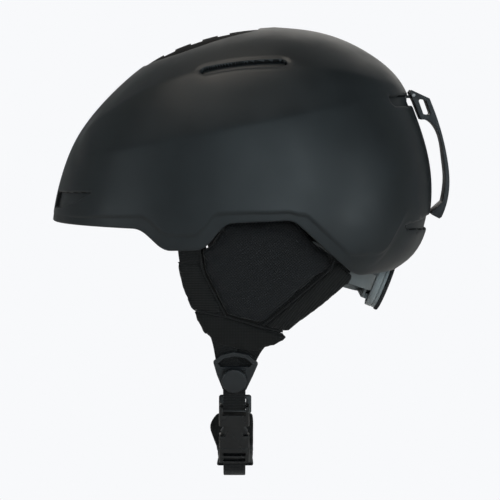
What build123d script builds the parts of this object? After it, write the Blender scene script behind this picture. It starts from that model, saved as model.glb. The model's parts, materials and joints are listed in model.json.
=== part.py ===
from build123d import *
from functools import lru_cache
from math import atan2, cos, pi, radians, sin, tan
import os

# A snow-sports helmet, in millimetres: +Z up, brow towards -Y, the wearer's left towards +X.
# The origin is the middle of the head opening, level with the brow edge.

# ---- driving dimensions ----

# Outer surface: horizontal rings of (height, front y, back y, half width), and its crown point.
RINGS = [
    (141.4, -7, 53, 26.5),
    (135.5, -31.5, 73.5, 46),
    (123.5, -60.5, 96.5, 66),
    (106, -85, 116, 85),
    (85, -106, 126.5, 98),
    (64, -121.5, 134, 105.5),
    (40, -132, 139.5, 109.5),
    (16, -138.3, 140.3, 111.5),
    (-5, -141.3, 137, 111),
    (-25, -142.5, 126, 108.5),
    (-42, -143, 104, 104.5),
    (-60, -143, 76, 99),
]
CROWN_Y = 24.0
CROWN_Z = 144.5
RING_POINTS = 24
SHELL_THICKNESS = 2.6
LINER_GAP = 0.1
LINER_INNER = 26.0
PAD_THICKNESS = 6.0
BODY_REACH = 200.0

# Lower edge of the shell in side view, front to back, and the radius of each corner.
RIM = [(-170, 3.5), (-72.5, 1.2), (-55.5, -14.3), (-26.5, -13.2), (-11.5, 5.8), (37, 8), (83, -34.3), (170, -34.3)]
RIM_RADII = [5, 9, 10, 10, 10, 16]

# Vents
WELL_DEPTH = 8.0
WELL_GAP = 0.05
INSERT_THICKNESS = 1.2
CROWN_INSERT_DEPTH = 1.0
CROWN_WALL = 2.6
FRONT_VENT = [(21, 12), (21, 24), (46, 24.5), (73, 25.5), (60, 17.5), (44, 13)]
SIDE_VENT_CENTRE = (74, 1.5, 115.7)
SIDE_VENT_LENGTH = 62.0
SIDE_VENT_WIDTH = 10.0
SIDE_VENT_TILT = 47.0
UPPER_VENT_HALF = 58.0
UPPER_VENT_Z = 90.5
UPPER_VENT_HEIGHT = 8.0
LOWER_VENT = [(-68, 1.5), (-30, 6.5), (30, 6.5), (68, 1.5), (66, -1.5), (30, -4), (-30, -4), (-66, -1.5)]
SIDE_VENT_TURN = 3.5
CROWN_VENT = [(14, -72), (30, -58), (37, -45), (38, -30), (34, -12), (28, 4), (19, 12.5)]

# Webbing, ear flaps and chin strap. A cheek plane leans inwards, and holds an ear flap and its two straps.
WEBBING_WIDTH = 16.0
WEBBING_THICKNESS = 1.5
CHEEK_X = 84.0
CHEEK_LEAN = 13.3
SLEEVE_GAP = 0.3
FRONT_STRAP = [(-38, 12), (-37.5, -20), (-31, -46), (-14.5, -73), (-9.5, -103.5)]
REAR_STRAP = [(74, -8), (71.5, -30), (26, -67), (5, -82), (-2, -103.5)]
STRAP_BEND = 18.0
FRONT_STRAP_LAYER = (0.4, 1.9)
REAR_STRAP_LAYER = (-1.5, 0.0)
SLEEVE_LAYER = (-3.5, 3.4)
EAR_PAD_LAYER = (-8.0, 2.0)
EAR_PAD = [(-29, -16), (-26, -15), (-11, 3.6), (36, 6), (65, -21.5), (65.5, -26), (14.5, -70), (-11, -63), (-27, -30)]
FRONT_SLEEVE = [(-46.3, -24), (-29.4, -24), (-27.6, -30), (-12, -62.6), (-35, -58.5), (-42, -43)]
REAR_SLEEVE = [(66, -22.5), (79.5, -34), (77.5, -38), (57, -56), (32.5, -74.5), (15.6, -70.7), (66.3, -26.5)]
EAR_HEM = [(-35, -59.2), (-12, -63.4), (14.4, -71.3), (31.5, -75.3), (15, -86), (13.5, -87.6), (-19, -87.6), (-26, -73)]

# Divider, pivot and buckle of the chin strap. Layers are distances out from the cheek plane.
PIVOT_Y = -5.5
PIVOT_Z = -110.0
POST_RADIUS = 2.5
RUNNING_CLEARANCE = 0.05
CAP_RADIUS = 9.0
DIVIDER_LAYER = (2.2, 4.4)
CHIN_STRAP_LAYER = 6.25
CAP_LAYER = (8.1, 10.6)
DIVIDER = [(-15.1, 12.8), (-9, 18), (0, 20.2), (10, 18.2), (17.4, 11.5), (13.5, 2), (8.5, -9), (-8, -9), (-12.5, 3)]
DIVIDER_WINDOW = [(-12, 11.5), (-7.5, 15.4), (0, 17.2), (8.5, 15.5), (13.5, 11), (11, 8.8), (-9.5, 8.8)]
BUCKLE_WIDTH = 22.0
BUCKLE_THICKNESS = 9.0
BUCKLE_TOP = -129.3
BUCKLE_SPLIT = -160.0
BUCKLE_BOTTOM = -171.5
CHIN_CORNER_Z = -180.0
CHIN_LOW_X = 22.0
CHIN_LOW_Z = -186.4
CHIN_PAD_WIDTH = 35.0
CHIN_PAD_THICKNESS = 7.0

# Fit system: the dial's own frame has its origin in the dial's outer face, looks backwards and down,
# and its heights are distances along the dial's shaft, negative towards the head.
DIAL_Y = 108.1
DIAL_Z = -46.8
DIAL_TILT = 22.0
DIAL_RADIUS = 20.5
DIAL_CLEARANCE = 0.4
SHAFT_RADIUS = 3.0
HOUSING_LENGTH = 64.0
HOUSING_HEIGHT = 28.0
COVER_LAYER = (-12.0, -10.6)
RACK_LAYER = (-14.9, -12.2)
BASE_LAYER = (-16.9, -15.1)
PINION_TEETH = 12
PINION_MODULE = 0.75
PRESSURE_ANGLE = 20.0
BACKLASH_ANGLE = 0.03
RACK_TIP = 0.5
RACK_START = -16.0
RACK_END = 34.0
FIT_ARM = [(34.3, -13.5), (50, -19), (61, -42), (66, -75), (68, -110), (68, -148), (61, -176)]
YOKE_HALF = 50.0
YOKE_HEIGHT = 22.0
YOKE_PIVOT_Y = 66.0
YOKE_PIVOT_Z = -8.0
YOKE_PIN_END = 78.5

# Goggle-strap clip at the back
CLIP_WIDTH = 30.0
CLIP_PIVOT_Y = 126.4
CLIP_PIVOT_Z = 94.3
PIN_RADIUS = 1.2
KNUCKLE_RADIUS = 2.3
KNUCKLE_WIDTH = 10.0

# Room in the liner for the dial and for the clip's anchor, as (low, high) pairs.
DIAL_POCKET = ((-54, 54), (70, 118.5), (-60, -19))
ANCHOR_POCKET = ((-17.2, 17.2), (80, 121.2), (86.6, 94.4))

SIDES = {"left": 1, "right": -1}


# ---- shared shapes ----


def widest_y(z):
    """Where a ring at this height is widest."""
    return 14 + 10 * max(0, min(1, (z - 60) / 84.5)) ** 2


def squareness(z):
    """Superellipse power of a ring at this height."""
    return 2.0 + 0.25 * max(0, min(1, (CROWN_Z - z) / 60))


def surface_lean(index):
    """How far the surface's normal points upwards at a ring, in radians."""
    reach = [0] + [(back - front) / 4 + half / 2 for _, front, back, half in RINGS]
    heights = [CROWN_Z] + [ring[0] for ring in RINGS]
    below = min(index + 2, len(RINGS))
    return atan2(reach[below] - reach[index], heights[index] - heights[below])


def ring_wire(index, inset):
    """A ring of the outer surface, moved inwards along the surface's normal."""
    z, front, back, half = RINGS[index]
    lean = surface_lean(index)
    centre = widest_y(z)
    power = 2 / squareness(z)
    lowest = index == len(RINGS) - 1
    drop = (1 if inset else 0) if lowest else inset * sin(lean)
    shrink = inset * cos(lean)
    points = []
    for step in range(RING_POINTS):
        turn = 2 * pi * step / RING_POINTS
        ahead = cos(turn)
        aside = sin(turn)
        reach = (centre - front if ahead > 0 else back - centre) - shrink
        x = (half - shrink) * abs(aside) ** power * (1 if aside > 0 else -1)
        y = centre - reach * abs(ahead) ** power * (1 if ahead > 0 else -1)
        points.append(Vector(x, y, z - drop))
    return Wire(Edge.make_spline(points, periodic=True))


@lru_cache(maxsize=None)
def dome(inset):
    """The solid under the outer surface, or under that surface moved inwards."""
    wires = [ring_wire(index, inset) for index in reversed(range(len(RINGS)))]
    return Solid.make_loft(wires + [Vertex(0, CROWN_Y, CROWN_Z - inset)])


def polygon(points, plane, radius=0):
    """A face with these corners on a plane, with its corners rounded where a radius is given."""
    face = make_face(plane * Polyline(*points, points[0]))
    return fillet(face.vertices(), radius) if radius else face


def slab(points, plane, start, end, radius=0):
    """A prism between two distances along the plane's normal."""
    face = polygon(points, plane.offset(start), radius)
    return extrude(face, end - start, plane.z_dir)


def block(x, y, z):
    """A box from three (low, high) pairs."""
    size = [high - low for low, high in (x, y, z)]
    middle = [(high + low) / 2 for low, high in (x, y, z)]
    return Pos(*middle) * Box(*size)


def rod(plane, radius, start, end):
    """A cylinder along the plane's normal, between two distances from the plane."""
    return extrude(plane.offset(start) * Circle(radius), end - start)


def tube(plane, outer, inner, start, end):
    """A rod with a bore."""
    return rod(plane, outer, start, end) - rod(plane, inner, start - 1, end + 1)


def ribbon(points, plane, width, start, end, radius):
    """A flat band of constant width that follows points on a plane."""
    line = FilletPolyline(*points, radius=radius)
    return extrude(plane.offset(start) * trace(line, width), end - start)


def mirrored(shape, side):
    """The shape itself on the left, and its mirror image on the right."""
    return shape if side > 0 else mirror(shape, Plane.YZ)


def rim_cutter(lift):
    """Everything above the lower edge, raised by lift."""
    corners = [(y, z + lift) for y, z in RIM]
    edge = FilletPolyline(*corners, radius=RIM_RADII)
    cap = Polyline(corners[-1], (corners[-1][0], 190), (corners[0][0], 190), corners[0])
    return extrude(make_face(Plane.YZ * (edge + cap)), BODY_REACH, both=True)


def write(name, shape):
    """Write one named piece."""
    export_step(shape, f"parts/{name}.step")


# ---- vents ----


def crown_prism(shrink):
    """The crown vent's opening as a prism, made smaller all round by shrink."""
    corners = CROWN_VENT + [(-x, y) for x, y in reversed(CROWN_VENT)]
    return extrude(offset(polygon(corners, Plane.XY.offset(90)), -shrink), 90, dir=(0, 0, 1))


def vent_prisms(shrink):
    """The shape of each vent opening as a prism through the shell, made smaller all round by shrink."""
    front = offset(polygon(FRONT_VENT, Plane.XZ.offset(95)), -shrink)
    front_left = extrude(front, 75, dir=(0, -1, 0))
    slope = Plane(
        SIDE_VENT_CENTRE, x_dir=(0, 1, 0), z_dir=(cos(radians(SIDE_VENT_TILT)), 0, sin(radians(SIDE_VENT_TILT)))
    )
    side_slot = SlotOverall(SIDE_VENT_LENGTH - 2 * shrink, SIDE_VENT_WIDTH - 2 * shrink)
    side_left = extrude(slope * Rot(0, 0, SIDE_VENT_TURN) * side_slot, 12, both=True)
    back = Plane.XZ.offset(-60)
    upper_slot = SlotOverall(2 * UPPER_VENT_HALF - 2 * shrink, UPPER_VENT_HEIGHT - 2 * shrink)
    upper = extrude(back * Pos(0, UPPER_VENT_Z) * upper_slot, 110, dir=(0, 1, 0))
    lower = extrude(offset(polygon(LOWER_VENT, back), -shrink), 110, dir=(0, 1, 0))
    return {
        "front_left": front_left,
        "front_right": mirror(front_left, Plane.YZ),
        "side_left": side_left,
        "side_right": mirror(side_left, Plane.YZ),
        "upper": upper,
        "lower": lower,
        "crown": crown_prism(shrink),
    }


# ---- shell, liner and what fills the vents ----


def make_shell(trim, openings):
    shell = (dome(0) - dome(SHELL_THICKNESS)) & trim
    for opening in openings.values():
        shell -= opening
    return shell


def make_liner(openings, pockets):
    liner = (dome(SHELL_THICKNESS + LINER_GAP) - dome(LINER_INNER)) & rim_cutter(0.6)
    well_floor = dome(WELL_DEPTH)
    for opening in openings.values():
        liner -= opening - well_floor
    for pocket in pockets:
        liner -= pocket
    return liner


def make_vent_insert(prism, bars):
    """A thin panel on the floor of a vent's well, with an opening wherever a bar cutter crosses it."""
    top = dome(WELL_DEPTH - WELL_GAP - INSERT_THICKNESS)
    panel = (top - dome(WELL_DEPTH - WELL_GAP)) & prism
    for bar in bars:
        panel -= bar
    return panel


def make_crown_insert(prism, bars):
    """The slotted panel just below the crown opening, on a wall that stands on the floor of its well."""
    panel = (dome(CROWN_INSERT_DEPTH) - dome(SHELL_THICKNESS)) & prism
    for bar in bars:
        panel -= bar
    wall = (dome(CROWN_INSERT_DEPTH) - dome(WELL_DEPTH - WELL_GAP)) & (prism - crown_prism(CROWN_WALL))
    return panel + wall


# ---- comfort padding ----


def make_pad(inner_start, prism, trim):
    """A pad of even thickness lining the inside of the liner, cut to a prism."""
    layer = dome(inner_start) - dome(inner_start + PAD_THICKNESS)
    return layer & prism & trim


def pad_prisms():
    """Where each comfort pad lies inside the liner, seen from in front, above or the side."""
    return {
        "brow_pad": block((-62, 62), (-150, -60), (8, 26)),
        "crown_pad": block((-24, 24), (-50, 70), (70, 160)),
        "side_pad_left": block((40, 120), (-40, 50), (24, 52)),
        "side_pad_right": block((-120, -40), (-40, 50), (24, 52)),
        "rear_pad": block((-45, 45), (60, 150), (8, 34)),
    }


def make_fastener_dots():
    """Hook-and-loop dots that hold the pads, as one group."""
    band = dome(LINER_INNER + 0.1) - dome(LINER_INNER + 0.9)
    spots = [
        Plane((0, -100, 17), x_dir=(1, 0, 0), z_dir=(0, -1, 0)),
        Plane((70, 5, 38), x_dir=(0, 1, 0), z_dir=(1, 0, 0)),
        Plane((-70, 5, 38), x_dir=(0, 1, 0), z_dir=(-1, 0, 0)),
        Plane((0, 90, 21), x_dir=(1, 0, 0), z_dir=(0, 1, 0)),
        Plane((0, -15, 100), x_dir=(1, 0, 0), z_dir=(0, 0, 1)),
        Plane((0, 35, 100), x_dir=(1, 0, 0), z_dir=(0, 0, 1)),
    ]
    return Compound(children=[(band & rod(spot, 7, 0, 40)).solid() for spot in spots])


# ---- ear flaps and straps ----


def cheek_plane():
    lean = radians(CHEEK_LEAN)
    return Plane((CHEEK_X, 0, 0), x_dir=(0, 1, 0), z_dir=(cos(lean), 0, -sin(lean)))


def on_cheek(points, layer=0):
    """Side-view (y, z) points as coordinates on the cheek plane, at a distance out from it."""
    lean = radians(CHEEK_LEAN)
    return [(y, (z + layer * sin(lean)) / cos(lean)) for y, z in points]


def strap(points, layer, extra=0):
    """One flat strap of the ear flap; extra widens it all round, for the slot it runs in."""
    start, end = layer
    width = WEBBING_WIDTH + 2 * extra
    return ribbon(on_cheek(points), cheek_plane(), width, start - extra, end + extra, STRAP_BEND)


def strap_slots():
    front = strap(FRONT_STRAP, FRONT_STRAP_LAYER, SLEEVE_GAP)
    rear = strap(REAR_STRAP, REAR_STRAP_LAYER, SLEEVE_GAP)
    return front, rear


def anchor_planes():
    """Where the rivet of each strap's upper end is, on the cheek plane."""
    spots = [(FRONT_STRAP[0][0], FRONT_STRAP[0][1] - 8), (REAR_STRAP[0][0] - 0.5, REAR_STRAP[0][1] - 8)]
    base = cheek_plane()
    return [Plane(base.from_local_coords((y, z, 0)), x_dir=base.x_dir, z_dir=base.z_dir) for y, z in on_cheek(spots)]


def anchor(plane, extra=0):
    """A rivet with a washer on each side of a strap."""
    shank = rod(plane, 2 + extra, -4 - extra, 4.5 + extra)
    inner = rod(plane, 6 + extra, -4 - extra, -2 + extra)
    outer = rod(plane, 6 + extra, 2.4 - extra, 4.5 + extra)
    return shank + inner + outer


def make_ear_flap(side):
    """The padded ear flap of one side: its pad, two strap sleeves and the hem below them."""
    plane = cheek_plane()
    slots = strap_slots()
    pieces = {}
    for name, outline, layer in (
        ("ear_pad", EAR_PAD, EAR_PAD_LAYER),
        ("ear_sleeve_front", FRONT_SLEEVE, SLEEVE_LAYER),
        ("ear_sleeve_rear", REAR_SLEEVE, SLEEVE_LAYER),
        ("ear_hem", EAR_HEM, SLEEVE_LAYER),
    ):
        sewn = slab(on_cheek(outline), plane, *layer, 0.8)
        for slot in slots:
            sewn -= slot
        pieces[name] = sewn
    return {name: mirrored(piece, side) for name, piece in pieces.items()}


def make_straps(side):
    """The front and rear straps of one side, holed for their anchors."""
    pieces = {
        "front_strap": strap(FRONT_STRAP, FRONT_STRAP_LAYER),
        "rear_strap": strap(REAR_STRAP, REAR_STRAP_LAYER),
    }
    for plane in anchor_planes():
        hole = rod(plane, 2.02, -6, 6)
        pieces = {name: piece - hole for name, piece in pieces.items()}
    return {name: mirrored(piece, side) for name, piece in pieces.items()}


# ---- divider, chin strap and buckle ----


def pivot_axis():
    """The plane whose normal is the swing axis of the chin strap."""
    return Plane((0, PIVOT_Y, PIVOT_Z), x_dir=(0, 1, 0), z_dir=(1, 0, 0))


def chin_frame():
    """Cheek plane moved out to the middle of the chin strap, with its origin beside the pivot."""
    base = cheek_plane()
    (y, height), = on_cheek([(PIVOT_Y, PIVOT_Z)], CHIN_STRAP_LAYER)
    origin = base.from_local_coords((y, height, CHIN_STRAP_LAYER))
    return Plane(origin, x_dir=base.x_dir, z_dir=base.z_dir)


def below_pivot(z):
    """Distance up the chin strap from its pivot to a height."""
    return (z - PIVOT_Z) / cos(radians(CHEEK_LEAN))


def post_reach():
    """How far from the middle the pivot post starts and ends."""
    middle = chin_frame().origin.X
    return middle - 4.2, middle + 3.2


def make_divider(side):
    frame = chin_frame()
    start, end = (layer - CHIN_STRAP_LAYER for layer in DIVIDER_LAYER)
    plate = slab(DIVIDER, frame, start, end, 1.5)
    plate -= slab(DIVIDER_WINDOW, frame, start - 1, end + 1)
    plate -= rod(pivot_axis(), POST_RADIUS + 0.01, 40, 90)
    return mirrored(plate, side)


def make_cap(side):
    start, end = (layer - CHIN_STRAP_LAYER for layer in CAP_LAYER)
    disc = rod(chin_frame(), CAP_RADIUS, start, end)
    disc = fillet(disc.edges().group_by(Axis(chin_frame().origin, chin_frame().z_dir))[-1], 1.0)
    return mirrored(disc + rod(pivot_axis(), POST_RADIUS, *post_reach()), side)


def make_chin_strap_left():
    """The short strap from the left divider to the buckle, looped round the buckle's bar."""
    frame = chin_frame()
    half = WEBBING_THICKNESS / 2
    bar = below_pivot(BUCKLE_TOP) - 1.1
    web = extrude(frame.offset(-half) * Circle(WEBBING_WIDTH / 2), WEBBING_THICKNESS)
    web += frame * block((-8, 8), (bar + 3, 0), (-half, half))
    loop = frame * block((-8, 8), (bar - 2.8, bar + 3.6), (-2.7, 2.7))
    loop -= frame * block((-9, 9), (bar - 1.4, bar + 2.2), (-1.4, 1.4))
    return web + loop - rod(pivot_axis(), POST_RADIUS + RUNNING_CLEARANCE, 40, 90)


def make_buckle_female():
    frame = chin_frame()
    top = below_pivot(BUCKLE_TOP)
    split = below_pivot(BUCKLE_SPLIT)
    half = BUCKLE_WIDTH / 2
    deep = BUCKLE_THICKNESS / 2
    body = block((-half, half), (split, top), (-deep, deep))
    body = fillet(body.edges().filter_by(Axis.Y), 2.2)
    body -= block((-8.4, 8.4), (top - 6.6, top + 1), (-deep, deep))
    body += block((-8.6, 8.6), (top - 2.2, top), (-1.1, 1.1))
    body -= block((-8.6, 8.6), (split - 1, split + 17.5), (-2.6, 2.6))
    for side in SIDES.values():
        body -= Pos(side * half, split + 12.8, 0) * Box(9, 7.6, 20)
    return frame * body


def make_buckle_male():
    frame = chin_frame()
    split = below_pivot(BUCKLE_SPLIT) - 0.2
    bottom = below_pivot(BUCKLE_BOTTOM)
    half = BUCKLE_WIDTH / 2
    deep = BUCKLE_THICKNESS / 2
    body = block((-half, half), (bottom, split), (-deep, deep))
    body = fillet(body.edges().filter_by(Axis.Y), 2.2)
    body -= block((-8.4, 8.4), (bottom - 1, split - 1.8), (-deep, 1.2))
    for low in (bottom + 1.4, bottom + 5.6):
        body -= block((-8.4, 8.4), (low, low + 2.4), (0, deep))
    body += block((-8.6, 8.6), (bottom + 4.4, bottom + 6.2), (-deep, -1.2))
    body += block((-2, 2), (split, split + 14), (-2.2, 2.2))
    return frame * body


def make_buckle_prongs():
    """The two sprung prongs, which bend inwards as the buckle opens."""
    frame = chin_frame()
    split = below_pivot(BUCKLE_SPLIT) - 0.2
    outline = [(4.6, 0), (7.4, 0), (7.4, 9.6), (9.6, 9.6), (9.8, 12), (7.2, 16.2), (5.4, 16.6)]
    prongs = []
    for side in SIDES.values():
        corners = [(side * across, split + along) for across, along in outline]
        prongs.append(slab(corners, frame, -2.2, 2.2))
    return Compound(children=prongs)


def chin_route():
    """Middle of the chin strap seen from in front, from the buckle round to the right pivot."""
    lean = radians(CHEEK_LEAN)
    start = chin_frame().origin

    def beside(z):
        return start.X + (z - start.Z) * sin(lean) / cos(lean)

    ladder = BUCKLE_SPLIT - 2.6
    return [
        (beside(ladder), ladder),
        (beside(CHIN_CORNER_Z), CHIN_CORNER_Z),
        (CHIN_LOW_X, CHIN_LOW_Z),
        (-CHIN_LOW_X, CHIN_LOW_Z),
        (-beside(CHIN_CORNER_Z), CHIN_CORNER_Z),
        (-start.X, start.Z),
    ]


def chin_band(thickness, width):
    """The chin strap's route as a band of this thickness and width."""
    front = Plane((0, PIVOT_Y, 0), x_dir=(1, 0, 0), z_dir=(0, -1, 0))
    line = FilletPolyline(*chin_route(), radius=[16, 60, 60, 16])
    return extrude(front * trace(line, thickness), width / 2, both=True)


def make_chin_strap_right():
    half = WEBBING_THICKNESS / 2
    eye = extrude(chin_frame().offset(-half) * Circle(WEBBING_WIDTH / 2), WEBBING_THICKNESS)
    band = chin_band(WEBBING_THICKNESS, WEBBING_WIDTH) + mirror(eye, Plane.YZ)
    return band - rod(pivot_axis(), POST_RADIUS + RUNNING_CLEARANCE, -90, -40)


def make_chin_pad():
    pad = chin_band(CHIN_PAD_THICKNESS, CHIN_PAD_WIDTH) & block((-80, 16), (-60, 60), (-200, -158))
    return pad - chin_band(WEBBING_THICKNESS + 0.4, WEBBING_WIDTH + 0.8)


def make_strap_slider():
    """The three-bar slider on the right half of the chin strap."""
    frame = chin_frame()
    low = below_pivot(-151)
    high = below_pivot(-137)
    body = block((-12.5, 12.5), (low, high), (-2.2, 2.2))
    body = fillet(body.edges().filter_by(Axis.Z), 2)
    body -= block((-8.3, 8.3), (low - 1, high + 1), (-1.0, 1.0))
    for start in (low + 2.4, low + 8.4):
        body -= block((-8.3, 8.3), (start, start + 3.2), (-3, 3))
    return mirror(frame * body, Plane.YZ)


# ---- fit system ----


def dial_plane():
    tilt = radians(DIAL_TILT)
    return Plane((0, DIAL_Y, DIAL_Z), x_dir=(-1, 0, 0), z_dir=(0, cos(tilt), -sin(tilt)))


def make_grip_ring():
    ring = tube(Plane.XY, DIAL_RADIUS, 15.4, -5.5, 0)
    return dial_plane() * fillet(ring.edges(), 1.1)


def make_knob():
    """The dial: a face that carries the grip ring, a skirt behind it and the shaft."""
    body = rod(Plane.XY, 15.3, -5.6, -1.2) + rod(Plane.XY, 19.6, -10.2, -5.6)
    body -= rod(Plane.XY, 17.2, -10.3, -7.2)
    body += rod(Plane.XY, SHAFT_RADIUS, -17.3, -7.2)
    body -= rod(Plane.XY, 1.4, -18, -9)
    return dial_plane() * body


def pinion_outline():
    """Corners of the involute pinion."""
    pitch = PINION_TEETH * PINION_MODULE / 2
    base = pitch * cos(radians(PRESSURE_ANGLE))
    spread = tan(radians(PRESSURE_ANGLE)) - radians(PRESSURE_ANGLE)
    half_tooth = pi / (2 * PINION_TEETH) + spread - BACKLASH_ANGLE
    flank = [(3.6, half_tooth)]
    for radius in (base, base + 0.25, base + 0.55, base + 0.85):
        roll = (radius**2 / base**2 - 1) ** 0.5
        flank.append((radius, half_tooth - (roll - atan2(roll, 1))))
    corners = []
    for tooth in range(PINION_TEETH):
        middle = pi / 2 + 2 * pi * tooth / PINION_TEETH
        falling = [(radius, middle - angle) for radius, angle in flank]
        rising = [(radius, middle + angle) for radius, angle in reversed(flank)]
        corners += [(radius * cos(turn), radius * sin(turn)) for radius, turn in falling + rising]
    return corners


def make_pinion():
    gear = slab(pinion_outline(), Plane.XY, RACK_LAYER[0] + 0.1, RACK_LAYER[1] - 0.1)
    return dial_plane() * (gear - rod(Plane.XY, SHAFT_RADIUS + 0.01, -20, 0))


def make_rack(side):
    """A toothed strip: the left one runs above the pinion, the right one below it."""
    pitch_line = PINION_TEETH * PINION_MODULE / 2
    pitch = pi * PINION_MODULE
    root = pitch_line + 0.85
    tip = pitch_line - RACK_TIP
    slope = tan(radians(PRESSURE_ANGLE))
    strip = block((RACK_START, RACK_END), (root, root + 4), RACK_LAYER)
    wide = pitch / 4 + (root - pitch_line) * slope
    narrow = pitch / 4 - RACK_TIP * slope
    first = round(RACK_START / pitch) + 1
    last = round(RACK_END / pitch) - 1
    for index in range(first, last):
        x = (index + 0.5) * pitch
        corners = [(x - wide, root), (x - narrow, tip), (x + narrow, tip), (x + wide, root)]
        strip += slab(corners, Plane.XY, *RACK_LAYER)
    if side > 0:
        strip = mirror(strip, Plane.YZ)
    else:
        strip = mirror(strip, Plane.XZ)
    return dial_plane() * strip


def housing_plate(layer):
    start, end = layer
    return extrude(Plane.XY.offset(start) * RectangleRounded(HOUSING_LENGTH, HOUSING_HEIGHT, 6), end - start)


def make_housing_cover():
    plate = housing_plate(COVER_LAYER)
    return dial_plane() * (plate - rod(Plane.XY, SHAFT_RADIUS + RUNNING_CLEARANCE, -20, 0))


def make_housing_base():
    """The back of the rack box, with the walls that guide the two racks."""
    plate = housing_plate(BASE_LAYER)
    for side in SIDES.values():
        low, high = sorted((side * 10.2, side * HOUSING_HEIGHT / 2))
        plate += block((-26, 26), (low, high), (BASE_LAYER[1], COVER_LAYER[0]))
    return dial_plane() * (plate - rod(Plane.XY, SHAFT_RADIUS + RUNNING_CLEARANCE, -20, 0))


def make_ratchet_ring():
    ring = tube(Plane.XY, 15.2, 12.4, COVER_LAYER[1], -8.4)
    for step in range(36):
        ring -= Rot(0, 0, 10 * step) * Pos(12.4, 0, -9) * Box(1.4, 0.9, 4)
    return dial_plane() * ring


def make_detent_spring():
    spring = tube(Plane.XY, 7.5, SHAFT_RADIUS, -8.6, -7.2)
    for turn in (0, 180):
        spring += Rot(0, 0, turn) * block((6, 11.2), (-1.2, 1.2), (-9.4, -8.4))
    return dial_plane() * spring


def make_dial_screw():
    return dial_plane() * (rod(Plane.XY, 4.5, -18.9, -17.3) + rod(Plane.XY, 1.4, -17.4, -9.5))


def nape_arc(start, thickness, half, height):
    """A band behind the nape, bowed along the dial's cross axis."""
    depth = 19.0
    outer = ThreePointArc((-half, start - depth), (0, start), (half, start - depth))
    inner = ThreePointArc((half, start - depth - thickness), (0, start - thickness), (-half, start - depth - thickness))
    ends = [Line(outer @ 1, inner @ 0), Line(inner @ 1, outer @ 0)]
    bow = Plane((0, 0, 0), x_dir=(1, 0, 0), z_dir=(0, -1, 0))
    return extrude(bow * make_face([outer, inner, *ends]), height / 2, both=True)


def make_yoke():
    """The cradle's yoke: a band behind the nape and an arm up each side to its pivot."""
    band = dial_plane() * (nape_arc(-17.0, 2.4, YOKE_HALF, YOKE_HEIGHT) - rod(Plane.XY, 5.6, -30, 0))
    corner = dial_plane().from_local_coords((0, 0, -17.0 - 19.0 - 1.2))
    top = (YOKE_PIVOT_Y, YOKE_PIVOT_Z)
    arm_face = Plane.YZ * make_hull(
        [*(Pos(*top) * Circle(7)).edges(), *(Pos(corner.Y, corner.Z) * Rectangle(9, 20)).edges()]
    )
    arm = extrude(Pos(YOKE_HALF - 1.4, 0, 0) * arm_face, 2.4)
    for side in SIDES.values():
        band += mirrored(arm, side)
    axis = Plane((0, *top), x_dir=(0, 1, 0), z_dir=(1, 0, 0))
    return band - rod(axis, SHAFT_RADIUS + RUNNING_CLEARANCE, -70, 70)


def make_nape_pad():
    return dial_plane() * nape_arc(-19.6, 4.0, 40, 18)


def yoke_pin(side, extra=0):
    axis = Plane((0, YOKE_PIVOT_Y, YOKE_PIVOT_Z), x_dir=(0, 1, 0), z_dir=(1, 0, 0))
    shank = rod(axis, SHAFT_RADIUS + extra, YOKE_HALF - 3, YOKE_PIN_END + extra)
    return mirrored(shank + rod(axis, 5, YOKE_HALF - 3.6, YOKE_HALF - 1.7), side)


def fit_arm_band(side, extra=0):
    """The band of a fit arm before it is holed; extra widens it all round, for the room that it needs."""
    bow = Plane((0, 0, 0), x_dir=(1, 0, 0), z_dir=(0, -1, 0))
    arm = extrude(bow * trace(Spline(*FIT_ARM), 1.6 + 2 * extra), 6 + extra, both=True)
    return dial_plane() * mirrored(arm, -side)


def make_fit_arm(side):
    """The flexible arm from a rack forward to the temple."""
    return fit_arm_band(side) - dial_plane() * mirrored(temple_pin_shape(0.02), -side)


def temple_pin_shape(extra=0):
    """The stud that holds the front end of a fit arm, in the dial's own frame."""
    x, depth = FIT_ARM[-1]
    axis = Plane((x - 3.4, 0, depth + 4), x_dir=(0, 1, 0), z_dir=(1, 0, 0))
    return rod(axis, 2.5 + extra, 0, 22) + rod(axis, 4.5, 0, 1.4)


# ---- goggle-strap clip ----


def clip_outline():
    """Outer and inner edges of the clip in side view: a frame on the shell, an arm and a hook."""
    back = Spline((138.1, 92), (146.4, 69.3), (151.5, 47.2), (153.1, 31), (150.2, 11.4), (147.4, 4.5))
    hook = Polyline((147.4, 4.5), (145.7, 3.4), (140.3, 6.2), (140.1, 8.4), (148.1, 15.5))
    inside = Spline((148.1, 15.5), (149.5, 23.1), (150.2, 33.4), (148.8, 47.2), (143, 70), (137.5, 75.5), (132, 76.3))
    top = Polyline((132, 76.3), (130.8, 78.9), (126.6, 89.5), (123.4, 96), (124.7, 98.2), (138.1, 92))
    return [back, hook, inside, top]


def clip_pivot():
    return Plane((0, CLIP_PIVOT_Y, CLIP_PIVOT_Z), x_dir=(0, 1, 0), z_dir=(1, 0, 0))


def make_clip():
    body = extrude(Plane.YZ * make_face(clip_outline()), CLIP_WIDTH / 2, both=True)
    window = [(129.6, 91.6), (135.4, 90.8), (139.6, 79.4), (133.6, 80.4)]
    body -= slab(window, Plane.YZ, -20, 20, 1.2)
    body -= rod(clip_pivot(), KNUCKLE_RADIUS + 0.6, -KNUCKLE_WIDTH / 2 - 0.3, KNUCKLE_WIDTH / 2 + 0.3)
    gap = KNUCKLE_WIDTH / 2 + 0.3
    body -= block((-gap, gap), (118, CLIP_PIVOT_Y), (CLIP_PIVOT_Z - 2.9, 100))
    return body - rod(clip_pivot(), PIN_RADIUS + RUNNING_CLEARANCE, -20, 20)


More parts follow.
